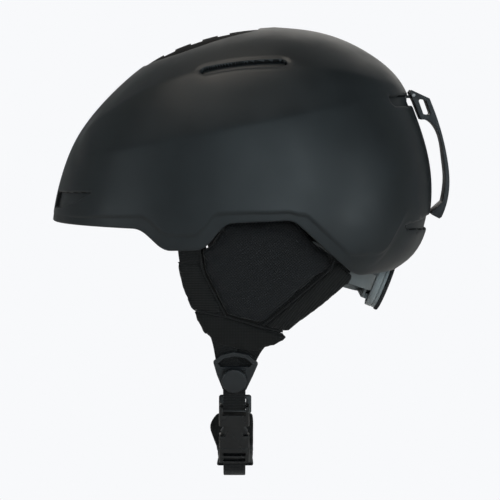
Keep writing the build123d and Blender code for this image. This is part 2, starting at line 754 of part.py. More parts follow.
def make_clip_anchor():
    """The block plugged into the middle of the upper vent, with the knuckle for the clip's pin."""
    block_part = block((-17, 17), (105, 121), (UPPER_VENT_Z - 3.6, UPPER_VENT_Z + 3.6))
    half = KNUCKLE_WIDTH / 2
    tongue = block((-half, half), (118, CLIP_PIVOT_Y - 0.5), (CLIP_PIVOT_Z - 2.2, CLIP_PIVOT_Z - 0.1))
    knuckle = rod(clip_pivot(), KNUCKLE_RADIUS, -half, half)
    return block_part + tongue + knuckle - rod(clip_pivot(), PIN_RADIUS + 0.01, -20, 20)


# ---- assembly ----


def write_shell_and_vents():
    openings = vent_prisms(0)
    fills = vent_prisms(0.4)
    dial_room = dial_plane() * rod(Plane.XY, DIAL_RADIUS + 0.7, -12, DIAL_CLEARANCE)
    write("outer_shell", make_shell(rim_cutter(0), openings) - dial_room)
    pockets = [block(*DIAL_POCKET), block(*ANCHOR_POCKET)]
    for side in SIDES.values():
        pockets += [mirrored(slot, side) for slot in strap_slots()]
        pockets += [mirrored(anchor(plane, 0.3), side) for plane in anchor_planes()]
        pockets.append(yoke_pin(side, 0.02))
        pockets.append(dial_plane() * mirrored(temple_pin_shape(0.02), side))
        pockets.append(fit_arm_band(side, 0.4))
    write("impact_liner", make_liner(openings, pockets))
    anchor_room = block(*ANCHOR_POCKET)
    ribs = [block((-20, 20), (y, y + 9), (90, 170)) for y in (-58, -38, -18)]
    write("crown_vent_insert", make_crown_insert(fills["crown"], ribs))
    write("rear_upper_vent_mesh", make_vent_insert(fills["upper"], [anchor_room]))
    write("rear_lower_vent_mesh", make_vent_insert(fills["lower"], []))
    for name in SIDES:
        write(f"front_vent_mesh_{name}", make_vent_insert(fills[f"front_{name}"], []))
        write(f"side_vent_frame_{name}", make_vent_insert(fills[f"side_{name}"], []))


def write_padding():
    trim = rim_cutter(3)
    for name, prism in pad_prisms().items():
        write(name, make_pad(LINER_INNER + 1.0, prism, trim))
    write("pad_fastener_dots", make_fastener_dots())


def write_flaps_and_straps():
    anchors = []
    for name, side in SIDES.items():
        pieces = make_ear_flap(side) | make_straps(side)
        pieces["strap_divider"] = make_divider(side)
        pieces["divider_cap"] = make_cap(side)
        for piece, shape in pieces.items():
            write(f"{piece}_{name}", shape)
        anchors += [mirrored(anchor(plane), side) for plane in anchor_planes()]
    write("strap_anchors", Compound(children=anchors))
    write("chin_strap_left", make_chin_strap_left())
    write("buckle_female", make_buckle_female())
    write("buckle_male", make_buckle_male())
    write("buckle_prongs", make_buckle_prongs())
    write("chin_strap_right", make_chin_strap_right())
    write("chin_pad", make_chin_pad())
    write("strap_slider", make_strap_slider())


def write_fit_system():
    write("dial_knob", make_knob())
    write("dial_grip_ring", make_grip_ring())
    write("dial_pinion", make_pinion())
    write("dial_screw", make_dial_screw())
    write("detent_spring", make_detent_spring())
    write("ratchet_ring", make_ratchet_ring())
    write("dial_housing_cover", make_housing_cover())
    write("dial_housing_base", make_housing_base())
    write("cradle_yoke", make_yoke())
    write("nape_pad", make_nape_pad())
    for name, side in SIDES.items():
        write(f"rack_{name}", make_rack(side))
        write(f"fit_arm_{name}", make_fit_arm(side))
    write("yoke_pins", Compound(children=[yoke_pin(side) for side in SIDES.values()]))
    studs = [dial_plane() * mirrored(temple_pin_shape(), side) for side in SIDES.values()]
    write("temple_studs", Compound(children=studs))


def write_goggle_clip():
    write("goggle_clip", make_clip())
    write("clip_anchor", make_clip_anchor())
    write("clip_hinge_pin", rod(clip_pivot(), PIN_RADIUS, -CLIP_WIDTH / 2, CLIP_WIDTH / 2))


def main():
    os.makedirs("parts", exist_ok=True)
    write_flaps_and_straps()
    write_fit_system()
    write_goggle_clip()
    write_padding()
    write_shell_and_vents()


if __name__ == "__main__":
    main()
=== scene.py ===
"""Visual model of a snow-sports helmet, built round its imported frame."""

import json
import logging
import math
from dataclasses import dataclass
from enum import Enum
from typing import Callable, Iterable, Sequence

import bmesh
import bpy
import numpy as np
from mathutils import Matrix, Vector


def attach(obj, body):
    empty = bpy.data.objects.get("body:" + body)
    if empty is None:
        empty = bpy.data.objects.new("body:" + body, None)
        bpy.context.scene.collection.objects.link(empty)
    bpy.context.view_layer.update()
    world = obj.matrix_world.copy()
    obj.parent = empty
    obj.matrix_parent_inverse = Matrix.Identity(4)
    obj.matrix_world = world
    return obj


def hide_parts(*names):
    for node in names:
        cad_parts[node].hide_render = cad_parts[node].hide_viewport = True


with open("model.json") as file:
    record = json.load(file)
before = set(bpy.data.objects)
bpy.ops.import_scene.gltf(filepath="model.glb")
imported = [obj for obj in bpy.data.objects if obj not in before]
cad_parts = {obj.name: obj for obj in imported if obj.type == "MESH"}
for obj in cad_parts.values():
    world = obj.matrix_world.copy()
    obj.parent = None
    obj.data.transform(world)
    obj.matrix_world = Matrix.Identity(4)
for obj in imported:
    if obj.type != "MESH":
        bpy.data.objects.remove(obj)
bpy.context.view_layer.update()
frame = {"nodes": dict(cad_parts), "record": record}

LOG = logging.getLogger("helmet")
MM = 0.001
SIDES = {"left": 1.0, "right": -1.0}

LEAN = 13.3
TO_SIDE = (0.0, math.pi / 2, 0.0)
MIDDLE = (0.3, 0.7)

Line = tuple[tuple[float, float], ...]
Mesh = bpy.types.Mesh
Node = bpy.types.Node
Outline = list[tuple[float, float]]
Point = tuple[float, float, float]
Shape = bmesh.types.BMesh
Socket = bpy.types.NodeSocket


# ---------------------------------------------------------------------------
# Finishes
# ---------------------------------------------------------------------------


class Space(Enum):
    """The coordinates that a finish's pattern reads."""

    OBJECT = "Object"
    UV = "UV"


class Graph:
    """The nodes of one material: its shader, and the coordinates that its patterns read."""

    def __init__(self, material: bpy.types.Material, space: Space) -> None:
        """Start from a new material's own shader."""
        material.use_nodes = True
        self.tree = material.node_tree
        self.shader = self.tree.nodes["Principled BSDF"]
        self.place = self.tree.nodes.new("ShaderNodeTexCoord").outputs[space.value]

    def feed(self, node: Node, inputs: dict[str | int, object]) -> Node:
        """Give a node its inputs.

        Args:
            node: The node.
            inputs: A socket or a constant for each input.

        Returns:
            The same node.
        """
        for name, value in inputs.items():
            if isinstance(value, Socket):
                self.tree.links.new(value, node.inputs[name])
            else:
                node.inputs[name].default_value = value
        return node

    def add(self, kind: str, inputs: dict[str | int, object], **options: str) -> Node:
        """Add a node.

        Args:
            kind: Its type, without the prefix.
            inputs: A socket or a constant for each input.
            options: The node's own options.

        Returns:
            The node.
        """
        node = self.tree.nodes.new("ShaderNode" + kind)
        for option, choice in options.items():
            setattr(node, option, choice)
        return self.feed(node, inputs)

    def noise(self, scale: float, detail: float) -> Socket:
        """A cloudy pattern, with its features per metre and its number of finer layers."""
        return self.add("TexNoise", {"Vector": self.place, "Scale": scale, "Detail": detail}).outputs["Fac"]

    def maths(self, operation: str, first: Socket, second: Socket | float) -> Socket:
        """The result of one maths node."""
        return self.add("Math", {0: first, 1: second}, operation=operation).outputs[0]

    def blend(self, first: Socket, share: float, second: Socket) -> Socket:
        """A share of one pattern, and the rest of another."""
        part = self.maths("MULTIPLY", first, share)
        return self.maths("ADD", part, self.maths("MULTIPLY", second, 1 - share))

    def turned(self, place: Socket, turn: Point) -> Socket:
        """Coordinates turned by angles in radians."""
        return self.add("Mapping", {"Rotation": turn, "Vector": place}).outputs["Vector"]

    def ridge(self, place: Socket, slant: float, spacing: float) -> Socket:
        """One set of evenly spaced ridges across a direction, as a height from 0 to 1."""
        inputs = {"Vector": self.turned(place, (0.0, 0.0, slant)), "Scale": spacing * math.pi / 10}
        return self.add("TexWave", inputs, wave_type="BANDS", bands_direction="X").outputs["Fac"]


@dataclass(frozen=True)
class Finish:
    """A dielectric surface with fine grain, and a slow drift in its roughness."""

    name: str
    colour: Point
    roughness: float = 0.5
    specular: float = 0.5
    sheen: float = 0.0
    grain: float = 900.0
    relief: float = 0.00002
    drift: float = 0.06
    space: Space = Space.OBJECT

    def material(self) -> bpy.types.Material:
        """Make the material once, and return it again after that.

        Returns:
            The node material of this finish.
        """
        made = bpy.data.materials.get(self.name)
        if made:
            return made
        material = bpy.data.materials.new(self.name)
        graph = Graph(material, self.space)
        graph.feed(graph.shader, {"Specular IOR Level": self.specular})
        if self.sheen:
            graph.feed(graph.shader, {"Sheen Weight": self.sheen, "Sheen Roughness": 0.45})
        self.dress(graph)
        material.diffuse_color = (*self.colour, 1.0)
        return material

    def dress(self, graph: Graph) -> None:
        """Connect colour, roughness and relief to the shader."""
        cloud = graph.noise(38.0, 3.0)
        self.surface(graph, cloud, (0.86, 1.12), cloud, graph.noise(self.grain, 2.0))

    def surface(
        self, graph: Graph, shade: Socket, range_of_shade: tuple[float, float], cloud: Socket, height: Socket
    ) -> None:
        """Connect patterns to the shader.

        Args:
            graph: The material's nodes.
            shade: The pattern of the colour, from 0 to 1.
            range_of_shade: The shares of the colour's brightness that it runs between.
            cloud: The pattern of the roughness, from 0 to 1.
            height: The pattern of the relief, from 0 to 1.
        """
        ramp = graph.add("ValToRGB", {"Fac": shade})
        for stop, position, share in zip(ramp.color_ramp.elements, MIDDLE, range_of_shade):
            stop.position = position
            stop.color = (*(channel * share for channel in self.colour), 1.0)
        spread = graph.add("MapRange", {
            "Value": cloud, "From Min": MIDDLE[0], "From Max": MIDDLE[1],
            "To Min": self.roughness - self.drift, "To Max": self.roughness + self.drift,
        })
        relief = graph.add("Bump", {"Distance": self.relief, "Strength": 1.0, "Height": height})
        graph.feed(graph.shader, {
            "Base Color": ramp.outputs["Color"], "Roughness": spread.outputs["Result"],
            "Normal": relief.outputs["Normal"],
        })


@dataclass(frozen=True)
class WovenFinish(Finish):
    """Cloth made of two sets of threads, with slight differences between threads."""

    thread: float = 1400.0
    slant: float = 0.0
    cross: float = 0.6

    def dress(self, graph: Graph) -> None:
        """Connect the weave to colour, roughness and relief."""
        place = graph.place
        if self.space is Space.OBJECT:
            place = graph.turned(place, TO_SIDE)
        warp = graph.ridge(place, self.slant, self.thread)
        weft = graph.ridge(place, self.slant + math.pi / 2, self.thread * self.cross)
        weave = graph.maths("MULTIPLY", warp, weft)
        cloud = graph.noise(120.0, 4.0)
        self.surface(graph, graph.blend(weave, 0.55, cloud), (0.45, 1.6), cloud, weave)


@dataclass(frozen=True)
class MeshFinish(Finish):
    """Knitted spacer mesh: rows of small holes over a darker ground, set on a slant."""

    pitch: float = 0.0016
    slant: float = 0.7

    def dress(self, graph: Graph) -> None:
        """Connect the holes of the mesh to colour and relief."""
        place = graph.turned(graph.place, TO_SIDE)
        first = graph.ridge(place, self.slant, 1 / self.pitch)
        second = graph.ridge(place, self.slant + math.pi / 2, 1 / self.pitch)
        knots = graph.maths("MAXIMUM", first, second)
        cloud = graph.noise(160.0, 3.0)
        self.surface(graph, graph.blend(knots, 0.6, cloud), (0.4, 1.7), cloud, knots)


@dataclass(frozen=True)
class BeadFinish(Finish):
    """Moulded bead foam, with its packed cells showing."""

    bead: float = 0.0032

    def dress(self, graph: Graph) -> None:
        """Connect the beads to colour and relief."""
        inputs = {"Scale": 1 / self.bead, "Vector": graph.place}
        cells = graph.add("TexVoronoi", inputs, feature="DISTANCE_TO_EDGE")
        cloud = graph.noise(60.0, 3.0)
        edge = graph.maths("MINIMUM", cells.outputs["Distance"], 0.25)
        self.surface(graph, cloud, (0.8, 1.25), cloud, edge)


SHELL = Finish(
    "matte shell", (0.0125, 0.0172, 0.0202), roughness=0.42, specular=0.5, grain=2600.0, relief=0.000012,
)
# Painted shade: near black for the floors of the sunk vents, standing in for the shade inside deep vent
# holes.
WELL_SHADE = Finish("vent well painted shade", (0.0035, 0.0036, 0.0038), roughness=0.7, specular=0.2, grain=900.0, relief=0.00003)
FOAM = BeadFinish("liner foam", (0.012, 0.012, 0.0125), roughness=0.72, specular=0.35, relief=0.0003)
# Painted shade: near black for the side vent frames and the crown vent insert, standing in for the shade deep
# in the vents.
VENT_TRIM_SHADE = Finish(
    "vent trim painted shade", (0.0038, 0.004, 0.0042), roughness=0.75, specular=0.12, grain=1500.0, relief=0.00003,
)
MOULDED = Finish("moulded trim", (0.013, 0.0135, 0.014), roughness=0.42, grain=1500.0, relief=0.00002)
SATIN = Finish("satin buckle plastic", (0.012, 0.0126, 0.0132), roughness=0.3, grain=1200.0, relief=0.00002)
CLIP = Finish("clip plastic", (0.016, 0.018, 0.021), roughness=0.44, grain=1500.0, relief=0.00002)
CRADLE = Finish("cradle plastic", (0.19, 0.205, 0.21), roughness=0.45, grain=800.0, relief=0.00002)
DIAL_GREY = Finish("dial grey", (0.34, 0.37, 0.38), roughness=0.42, grain=900.0, relief=0.00002)
RUBBER = Finish(
    "dial rubber", (0.017, 0.019, 0.021), roughness=0.58, specular=0.4, grain=1800.0, relief=0.00003,
)
STEEL = Finish("pin steel", (0.5, 0.5, 0.51), roughness=0.32, grain=600.0, relief=0.00001)
WEBBING = WovenFinish(
    "ribbed webbing", (0.0085, 0.0088, 0.0092), roughness=0.72, specular=0.35, sheen=0.12,
    thread=520.0, cross=1.9, relief=0.00035, space=Space.UV,
)
PANEL = WovenFinish(
    "brushed panel", (0.010, 0.0102, 0.0106), roughness=0.8, specular=0.25, sheen=0.18,
    thread=1300.0, cross=1.0, slant=0.6, relief=0.00012,
)
SPACER = MeshFinish(
    "spacer mesh", (0.0088, 0.0093, 0.0105), roughness=0.75, specular=0.3, sheen=0.15, relief=0.0003,
)
SLEEVE = WovenFinish(
    "sleeve cloth", (0.0165, 0.0164, 0.0160), roughness=0.8, specular=0.25, sheen=0.12,
    thread=900.0, cross=1.0, slant=0.0, relief=0.0001,
)
FRONT_SLEEVE = WovenFinish(
    "ribbed front sleeve", (0.0155, 0.0155, 0.0152), roughness=0.78, specular=0.3, sheen=0.12,
    thread=560.0, cross=1.8, relief=0.0003,
)
REAR_SLEEVE = WovenFinish(
    "ribbed rear sleeve", (0.0155, 0.0155, 0.0152), roughness=0.78, specular=0.3, sheen=0.12,
    thread=560.0, cross=1.8, slant=0.9, relief=0.0003,
)
DIVIDER_TRIM = Finish("divider trim", (0.022, 0.025, 0.028), roughness=0.4, grain=1200.0, relief=0.00002)
# The vent mesh's own dark colour, darkened further as painted shade for the deep front and rear vents.
VENT_MESH_AND_SHADE = MeshFinish(
    "vent mesh and painted shade", (0.008, 0.0084, 0.0084), roughness=0.7, specular=0.3, pitch=0.0014, relief=0.0003,
)
PIPING = WovenFinish(
    "piping", (0.005, 0.0051, 0.0053), roughness=0.7, sheen=0.1, thread=1500.0, relief=0.0001,
)


# ---------------------------------------------------------------------------
# Mesh helpers
# ---------------------------------------------------------------------------


def smoothstep(value: np.ndarray) -> np.ndarray:
    """Ease from 0 to 1, with level ends."""
    clipped = np.clip(value, 0.0, 1.0)
    return clipped * clipped * (3.0 - 2.0 * clipped)


def finish_piece(
    mesh: Mesh, name: str, finish: Finish, body: str, nodes: Iterable[str] = ()
) -> bpy.types.Object:
    """Put a mesh into the scene as a finished piece of the helmet.

    Args:
        mesh: The mesh, in metres and in place.
        name: The piece's name.
        finish: Its finish.
        body: The moving body that it rides on.
        nodes: The frame's nodes that it stands for.

    Returns:
        The new object.
    """
    if not mesh.materials:
        mesh.materials.append(finish.material())
    piece = bpy.data.objects.new(name, mesh)
    bpy.context.scene.collection.objects.link(piece)
    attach(piece, body)
    if nodes:
        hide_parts(*nodes)
    LOG.info("%s: %d faces", name, len(mesh.polygons))
    return piece


def to_mesh(shape: Shape, name: str) -> Mesh:
    """Turn a bmesh into a mesh, and free it.

    Args:
        shape: The bmesh.
        name: The mesh's name.

    Returns:
        The mesh, with smooth faces.
    """
    for face in shape.faces:
        face.smooth = True
    mesh = bpy.data.meshes.new(name)
    shape.to_mesh(mesh)
    shape.free()
    return mesh


def mirrored_copy(mesh: Mesh, name: str) -> Mesh:
    """Copy a mesh to the other side of the middle plane, with its faces still outwards."""
    copy = mesh.copy()
    copy.name = name
    copy.materials.clear()
    copy.transform(Matrix.Scale(-1.0, 4, (1.0, 0.0, 0.0)))
    copy.flip_normals()
    return copy


def sided(mesh: Mesh, side: float, name: str) -> Mesh:
    """The mesh itself on the left, or its mirror image on the right."""
    return mesh if side > 0 else mirrored_copy(mesh, name)


def round_outline(points: Outline, radius: float, steps: int = 5) -> Outline:
    """Round the corners of a closed outline.

    Args:
        points: Its corners.
        radius: Radius of each corner, less where its sides are short.
        steps: Points on each rounded corner, less one.

    Returns:
        The rounded outline.
    """
    rounded: Outline = []
    for index, corner in enumerate(points):
        here = Vector(corner)
        before = Vector(points[index - 1]) - here
        after = Vector(points[(index + 1) % len(points)]) - here
        reach = min(radius, before.length * 0.45, after.length * 0.45)
        start = here + before.normalized() * reach
        end = here + after.normalized() * reach
        for step in range(steps + 1):
            part = step / steps
            bent = start * (1 - part) ** 2 + here * (2 * part * (1 - part)) + end * part**2
            rounded.append((bent.x, bent.y))
    return rounded


def place(shape: Shape, matrix: Matrix) -> Shape:
    """Move a shape in millimetres from its own frame into the helmet's, in metres."""
    bmesh.ops.transform(shape, matrix=Matrix.Scale(MM, 4) @ matrix, verts=shape.verts)
    return shape


def polygon_distance(points: np.ndarray, outline: Outline) -> np.ndarray:
    """Signed distance from points to a closed outline, negative inside.

    Args:
        points: An array of (x, y) rows.
        outline: The outline's corners.

    Returns:
        One distance for each row.
    """
    corners = np.array(outline, float)
    nearest = np.full(len(points), 1e9)
    inside = np.zeros(len(points), bool)
    for start, end in zip(corners, np.roll(corners, -1, axis=0)):
        side = end - start
        offset = points - start
        along = np.clip(offset @ side / (side @ side), 0.0, 1.0)
        nearest = np.minimum(nearest, np.linalg.norm(offset - along[:, None] * side, axis=1))
        crosses = (start[1] > points[:, 1]) != (end[1] > points[:, 1])
        rise = np.where(abs(side[1]) < 1e-12, 1e-12, side[1])
        inside ^= crosses & (points[:, 0] < start[0] + side[0] * (points[:, 1] - start[1]) / rise)
    return np.where(inside, -nearest, nearest)


# ---------------------------------------------------------------------------
# The helmet's outer surface
# ---------------------------------------------------------------------------


class Surface:
    """The smooth outer surface that shell, liner and vents share, in millimetres.

    A place on it is an angle, 0 at the brow and a quarter turn at the wearer's left, and a
    distance down from the crown along the middle of the surface.
    """

    RINGS = (
        (141.4, -7, 53, 26.5), (135.5, -31.5, 73.5, 46), (123.5, -60.5, 96.5, 66), (106, -85, 116, 85),
        (85, -106, 126.5, 98), (64, -121.5, 134, 105.5), (40, -132, 139.5, 109.5), (16, -138.3, 140.3, 111.5),
        (-5, -141.3, 137, 111), (-25, -142.5, 126, 108.5), (-42, -143, 104, 104.5), (-60, -143, 76, 99),
    )
    CROWN = (144.5, 24.0, 24.0, 0.0)
    CENTRE = 14.0
    CENTRE_AT_CROWN = 24.0
    SQUARE = 0.25
    SQUARE_OVER = 60.0

    def __init__(self) -> None:
        """Fit a natural cubic through the rings."""
        self.knots = np.array([self.CROWN, *self.RINGS], float)
        reach = (self.knots[:, 2] - self.knots[:, 1]) / 4 + self.knots[:, 3] / 2
        steps = np.hypot(np.diff(reach), np.diff(self.knots[:, 0]))
        self.down = np.concatenate([[0.0], np.cumsum(steps)])
        count = len(self.down)
        system = np.eye(count)
        right = np.zeros((count, 4))
        for row in range(1, count - 1):
            system[row, row - 1 : row + 2] = steps[row - 1], 2 * (steps[row - 1] + steps[row]), steps[row]
            slope = np.diff(self.knots[row - 1 : row + 2], axis=0) / steps[row - 1 : row + 1, None]
            right[row] = 3 * (slope[1] - slope[0])
        self.bend = np.linalg.solve(system, right)
        self.steps = steps

    def ring(self, down: np.ndarray) -> np.ndarray:
        """Height, front, back and half width of the rings at some distances down."""
        index = np.clip(np.searchsorted(self.down, down) - 1, 0, len(self.steps) - 1)
        along = (down - self.down[index])[:, None]
        span = self.steps[index][:, None]
        start, end = self.knots[index], self.knots[index + 1]
        bend, after = self.bend[index], self.bend[index + 1]
        slope = (end - start) / span - span * (2 * bend + after) / 3
        return start + slope * along + bend * along**2 + (after - bend) / (3 * span) * along**3

    def bare(self, angle: np.ndarray, down: np.ndarray) -> np.ndarray:
        """Points on the surface."""
        height, front, back, half = self.ring(down).T
        half = np.maximum(half, 0.0)
        top = self.CROWN[0]
        above = np.clip((height - self.SQUARE_OVER) / (top - self.SQUARE_OVER), 0, 1)
        centre = self.CENTRE + (self.CENTRE_AT_CROWN - self.CENTRE) * above**2
        power = 2 / (2.0 + self.SQUARE * np.clip((top - height) / self.SQUARE_OVER, 0, 1))
        ahead, aside = np.cos(angle), np.sin(angle)
        reach = np.where(ahead > 0, centre - front, back - centre)
        x = half * np.sign(aside) * np.abs(aside) ** power
        y = centre - np.sign(ahead) * reach * np.abs(ahead) ** power
        return np.stack([x, y, height], axis=1)

    def normal(self, angle: np.ndarray, down: np.ndarray) -> np.ndarray:
        """Outward unit normals of the surface."""
        turn, step = 0.004, 0.5
        low = np.maximum(down, 1.5)
        across = self.bare(angle + turn, low) - self.bare(angle - turn, low)
        along = self.bare(angle, low + step) - self.bare(angle, low - step)
        normal = np.cross(along, across)
        normal /= np.linalg.norm(normal, axis=1)[:, None] + 1e-12
        fade = np.clip(down / 6.0, 0, 1)[:, None]
        normal = normal * fade + np.array([0.0, 0.0, 1.0]) * (1 - fade)
        return normal / np.linalg.norm(normal, axis=1)[:, None]

    def down_to(self, angle: np.ndarray, level: "Edge") -> np.ndarray:
        """How far down each angle meets a lower edge.

        Args:
            angle: The angles.
            level: The edge.

        Returns:
            One distance down for each angle.
        """
        low = np.full(len(angle), 60.0)
        high = np.full(len(angle), self.down[-1])
        for _ in range(26):
            middle = (low + high) / 2
            spot = self.bare(angle, middle)
            above = spot[:, 2] > level.height(spot[:, 0], spot[:, 1])
            low = np.where(above, middle, low)
            high = np.where(above, high, middle)
        return (low + high) / 2


@dataclass
class Edge:
    """A line round the helmet, given as height against distance back, in millimetres."""

    points: Outline
    soften: float = 4.0
    notch_half: float = 0.0
    notch_height: float = 0.0

    def height(self, x: np.ndarray, y: np.ndarray) -> np.ndarray:
        """Heights of the line at some places, with its corners softened."""
        back, up = np.array(self.points, float).T
        total = np.zeros(len(y))
        shifts = np.linspace(-self.soften, self.soften, 7)
        for shift in shifts:
            total += np.interp(y + shift, back, up)
        line = total / len(shifts)
        if self.notch_half:
            inside = smoothstep((self.notch_half - np.abs(x)) / 3.0) * (y > 60)
            line = line * (1 - inside) + self.notch_height * inside
        return line


RIM = [
    (-170, 3.5), (-72.5, 1.2), (-55.5, -14.3), (-26.5, -13.2),
    (-11.5, 5.8), (37, 8), (83, -34.3), (170, -34.3),
]
CREASE = [
    (-170, 7.5), (-122, 7.6), (-100, 9.2), (-69, 10.2), (-54, -2.6), (-31, -2.8), (-19, 12.4), (10, 13.6),
    (46, 11.6), (77, -17.6), (99, -17.6), (104.5, -14), (119, 12.6), (170, 13),
]


@dataclass
class Vent:
    """An opening sunk into the surface, outlined in a view along one direction."""

    name: str
    outline: Outline
    view: tuple[Point, Point]
    centre: Point
    reach: float
    depth: float
    wall: float = 1.1
    mirrored: bool = True
    lip: float = 0.9

    def distance(self, spots: np.ndarray) -> np.ndarray:
        """Signed distance from the vent's edge, negative inside, and large far away."""
        local = spots.copy()
        if self.mirrored:
            local[:, 0] = np.abs(local[:, 0])
        local = local - np.array(self.centre)
        flat = np.stack([local @ np.array(self.view[0]), local @ np.array(self.view[1])], axis=1)
        facing = np.cross(self.view[0], self.view[1])
        near = np.abs(local @ facing) < self.reach
        result = np.full(len(spots), 1e3)
        result[near] = polygon_distance(flat[near], self.outline)
        return result


def capsule(length: float, width: float, steps: int = 8) -> Outline:
    """A slot with round ends, centred, in millimetres."""
    half = length / 2 - width / 2
    points: Outline = []
    for side in (1, -1):
        for step in range(steps + 1):
            turn = math.pi * step / steps - math.pi / 2
            points.append((side * (half + width / 2 * math.cos(turn)), side * width / 2 * math.sin(turn)))
    return points


def helmet_vents() -> list[Vent]:
    """The vents of the shell, as the frame has them."""
    tilt = math.radians(47)
    slope = np.array((-math.sin(tilt), 0.0, math.cos(tilt)))
    turn = math.radians(3.5)
    level = np.array((0.0, 1.0, 0.0))
    along = level * math.cos(turn) + slope * math.sin(turn)
    up = slope * math.cos(turn) - level * math.sin(turn)
    front = round_outline([(21, 12), (21, 24), (46, 24.5), (73, 25.5), (60, 17.5), (44, 13)], 2.5)
    lower = [(-68, 1.5), (-30, 6.5), (30, 6.5), (68, 1.5), (66, -1.5), (30, -4), (-30, -4), (-66, -1.5)]
    crown = [(14, -72), (30, -58), (37, -45), (38, -30), (34, -12), (28, 4), (19, 12.5)]
    crown = round_outline(crown + [(-x, y) for x, y in reversed(crown)], 5)
    return [
        Vent("front", front, ((1, 0, 0), (0, 0, 1)), (0, -115, 0), 45, 8.6),
        Vent("side", capsule(62, 8.6), (along, up), (74, 1.5, 115.7), 18, 8.6, lip=2.2),
        Vent("upper", capsule(116, 8), ((-1, 0, 0), (0, 0, 1)), (0, 115, 90.5), 30, 8.6, mirrored=False),
        Vent("lower", lower, ((-1, 0, 0), (0, 0, 1)), (0, 125, 0), 30, 8.6, mirrored=False),
        Vent("crown", crown, ((1, 0, 0), (0, 1, 0)), (0, 0, 130), 40, 1.6, wall=1.0, mirrored=False),
    ]


@dataclass
class Shell:
    """The hard outer shell: dome, crease above the rim, sunk vents and rounded lower edge."""

    surface: Surface
    thickness: float = 2.6
    columns: int = 336
    upper_rows: int = 104
    band_rows: int = 12
    edge_rows: int = 4
    inner_rows: int = 26
    band_step: float = 0.85
    band_slope: float = 0.085
    band_most: float = 1.9
    shoulder: Line = (
        (-125, 55), (-112, 68), (-102, 77), (-85, 88), (-68, 98),
        (-38, 108), (0, 112), (41, 113), (75, 110), (100, 103),
    )
    belt: Line = ((-110, 51), (120, 97))
    line_width: float = 24.0
    shoulder_height: float = 1.9
    belt_height: float = 1.3
    line_round: float = 0.8
    least_band: float = 6.0
    lower_edge: float = 1.3
    edge_bulge: float = 0.7
    step_height: float = 1.6
    fade_ends: float = 0.25
    lip_share: float = 0.36
    lip_spread: float = 1.6
    well_margin: float = 0.08

    @property
    def rows(self) -> int:
        """All rows of the grid, from the crown outside to the crown inside."""
        return self.upper_rows + self.band_rows + self.edge_rows + self.inner_rows

    def spots(self, angle: np.ndarray, row: np.ndarray, vents: list[Vent]) -> np.ndarray:
        """Place grid positions on the shell.

        Args:
            angle: Angle of each position.
            row: Row of each position, which may lie between two rows.
            vents: The vents that are sunk into the outside.

        Returns:
            Points in millimetres.
        """
        crease = self.surface.down_to(angle, Edge(CREASE, soften=2.0))
        rim = self.surface.down_to(angle, Edge(RIM, soften=4.5))
        crease = np.minimum(crease, rim - self.least_band)
        ends = np.cumsum([self.upper_rows, self.band_rows, self.edge_rows, self.inner_rows])
        on_top = np.clip(row / ends[0], 0, 1)
        in_band = np.clip((row - ends[0]) / self.band_rows, 0, 1)
        on_edge = np.clip((row - ends[1]) / self.edge_rows, 0, 1)
        within = np.clip((row - ends[2]) / self.inner_rows, 0, 1)
        down = crease * on_top + (rim - crease) * in_band - rim * within * 0.995
        down += self.edge_bulge * np.sin(on_edge * math.pi)
        below = (rim - crease) * in_band
        spot = self.surface.bare(angle, np.clip(down, 0, self.surface.down[-1]))
        fade = smoothstep((spot[:, 1] + 132) / 30) * smoothstep((128 - spot[:, 1]) / 22)
        step_in = self.band_step * smoothstep(below / self.step_height)
        inset = np.minimum(step_in + below * self.band_slope, self.band_most)
        inset *= self.fade_ends + (1 - self.fade_ends) * fade
        inset -= self.side_lift(spot) * (1 - on_edge)
        skin = np.maximum(self.thickness, inset + self.lower_edge * (1 - within))
        inset += (skin - inset) * on_edge
        normal = self.surface.normal(angle, np.clip(down, 0, self.surface.down[-1]))
        outside = (row <= ends[0] + self.band_rows).astype(float)
        for vent in vents:
            gap = vent.distance(spot)
            inset += vent.depth * smoothstep(-gap / vent.wall) * outside
            lip = smoothstep(1 - gap / (self.lip_spread * vent.lip))
            inset += self.lip_share * vent.lip * lip * outside
        return spot - normal * inset[:, None]

    def build(self, vents: list[Vent]) -> Mesh:
        """Model the shell.

        Args:
            vents: The vents to sink into it.

        Returns:
            The closed mesh, in metres.
        """
        shape = bmesh.new()
        bmesh.ops.create_grid(shape, x_segments=self.columns, y_segments=self.rows, size=1.0)
        for spacing in (1.9, 0.8):
            self.refine(shape, vents, spacing)
        self.paint_well_shade(shape, vents)
        settle(shape, self.rows, lambda angle, row: self.spots(angle, row, vents))
        mesh = to_mesh(shape, "outer shell")
        mesh.materials.append(SHELL.material())
        # The second material is painted shade for the vent floors.
        mesh.materials.append(WELL_SHADE.material())
        return mesh

    def paint_well_shade(self, shape: Shape, vents: list[Vent]) -> None:
        """Paint the faces inside the vents near black, as painted shade on the floors of the wells.

        Args:
            shape: The flat grid.
            vents: The vents.
        """
        middles = np.array([face.calc_center_median()[:2] for face in shape.faces])
        angle, row = unroll(middles, self.rows)
        outer = row < self.upper_rows + self.band_rows
        gap = np.full(len(middles), 1e3)
        spots = self.spots(angle[outer], row[outer], [])
        for vent in vents:
            gap[outer] = np.minimum(gap[outer], vent.distance(spots) + self.well_margin * vent.wall)
        # Painted shade: faces inside a vent take the near-black second material.
        for face, depth in zip(shape.faces, gap):
            face.material_index = int(depth < 0)

    def side_lift(self, spot: np.ndarray) -> np.ndarray:
        """How far the two soft lines along each side stand out, at some points."""
        lift = np.zeros(len(spot))
        for line, height in ((self.shoulder, self.shoulder_height), (self.belt, self.belt_height)):
            back, up = np.array(line, float).T
            away = spot[:, 2] - np.interp(spot[:, 1], back, up)
            away = np.sqrt(away**2 + self.line_round**2)
            lift += height * np.clip(1 - away / self.line_width, 0, 1) ** 2
        ends = smoothstep((spot[:, 1] + 122) / 14) * smoothstep((122 - spot[:, 1]) / 30)
        return lift * ends * smoothstep((np.abs(spot[:, 0]) - 22) / 22)

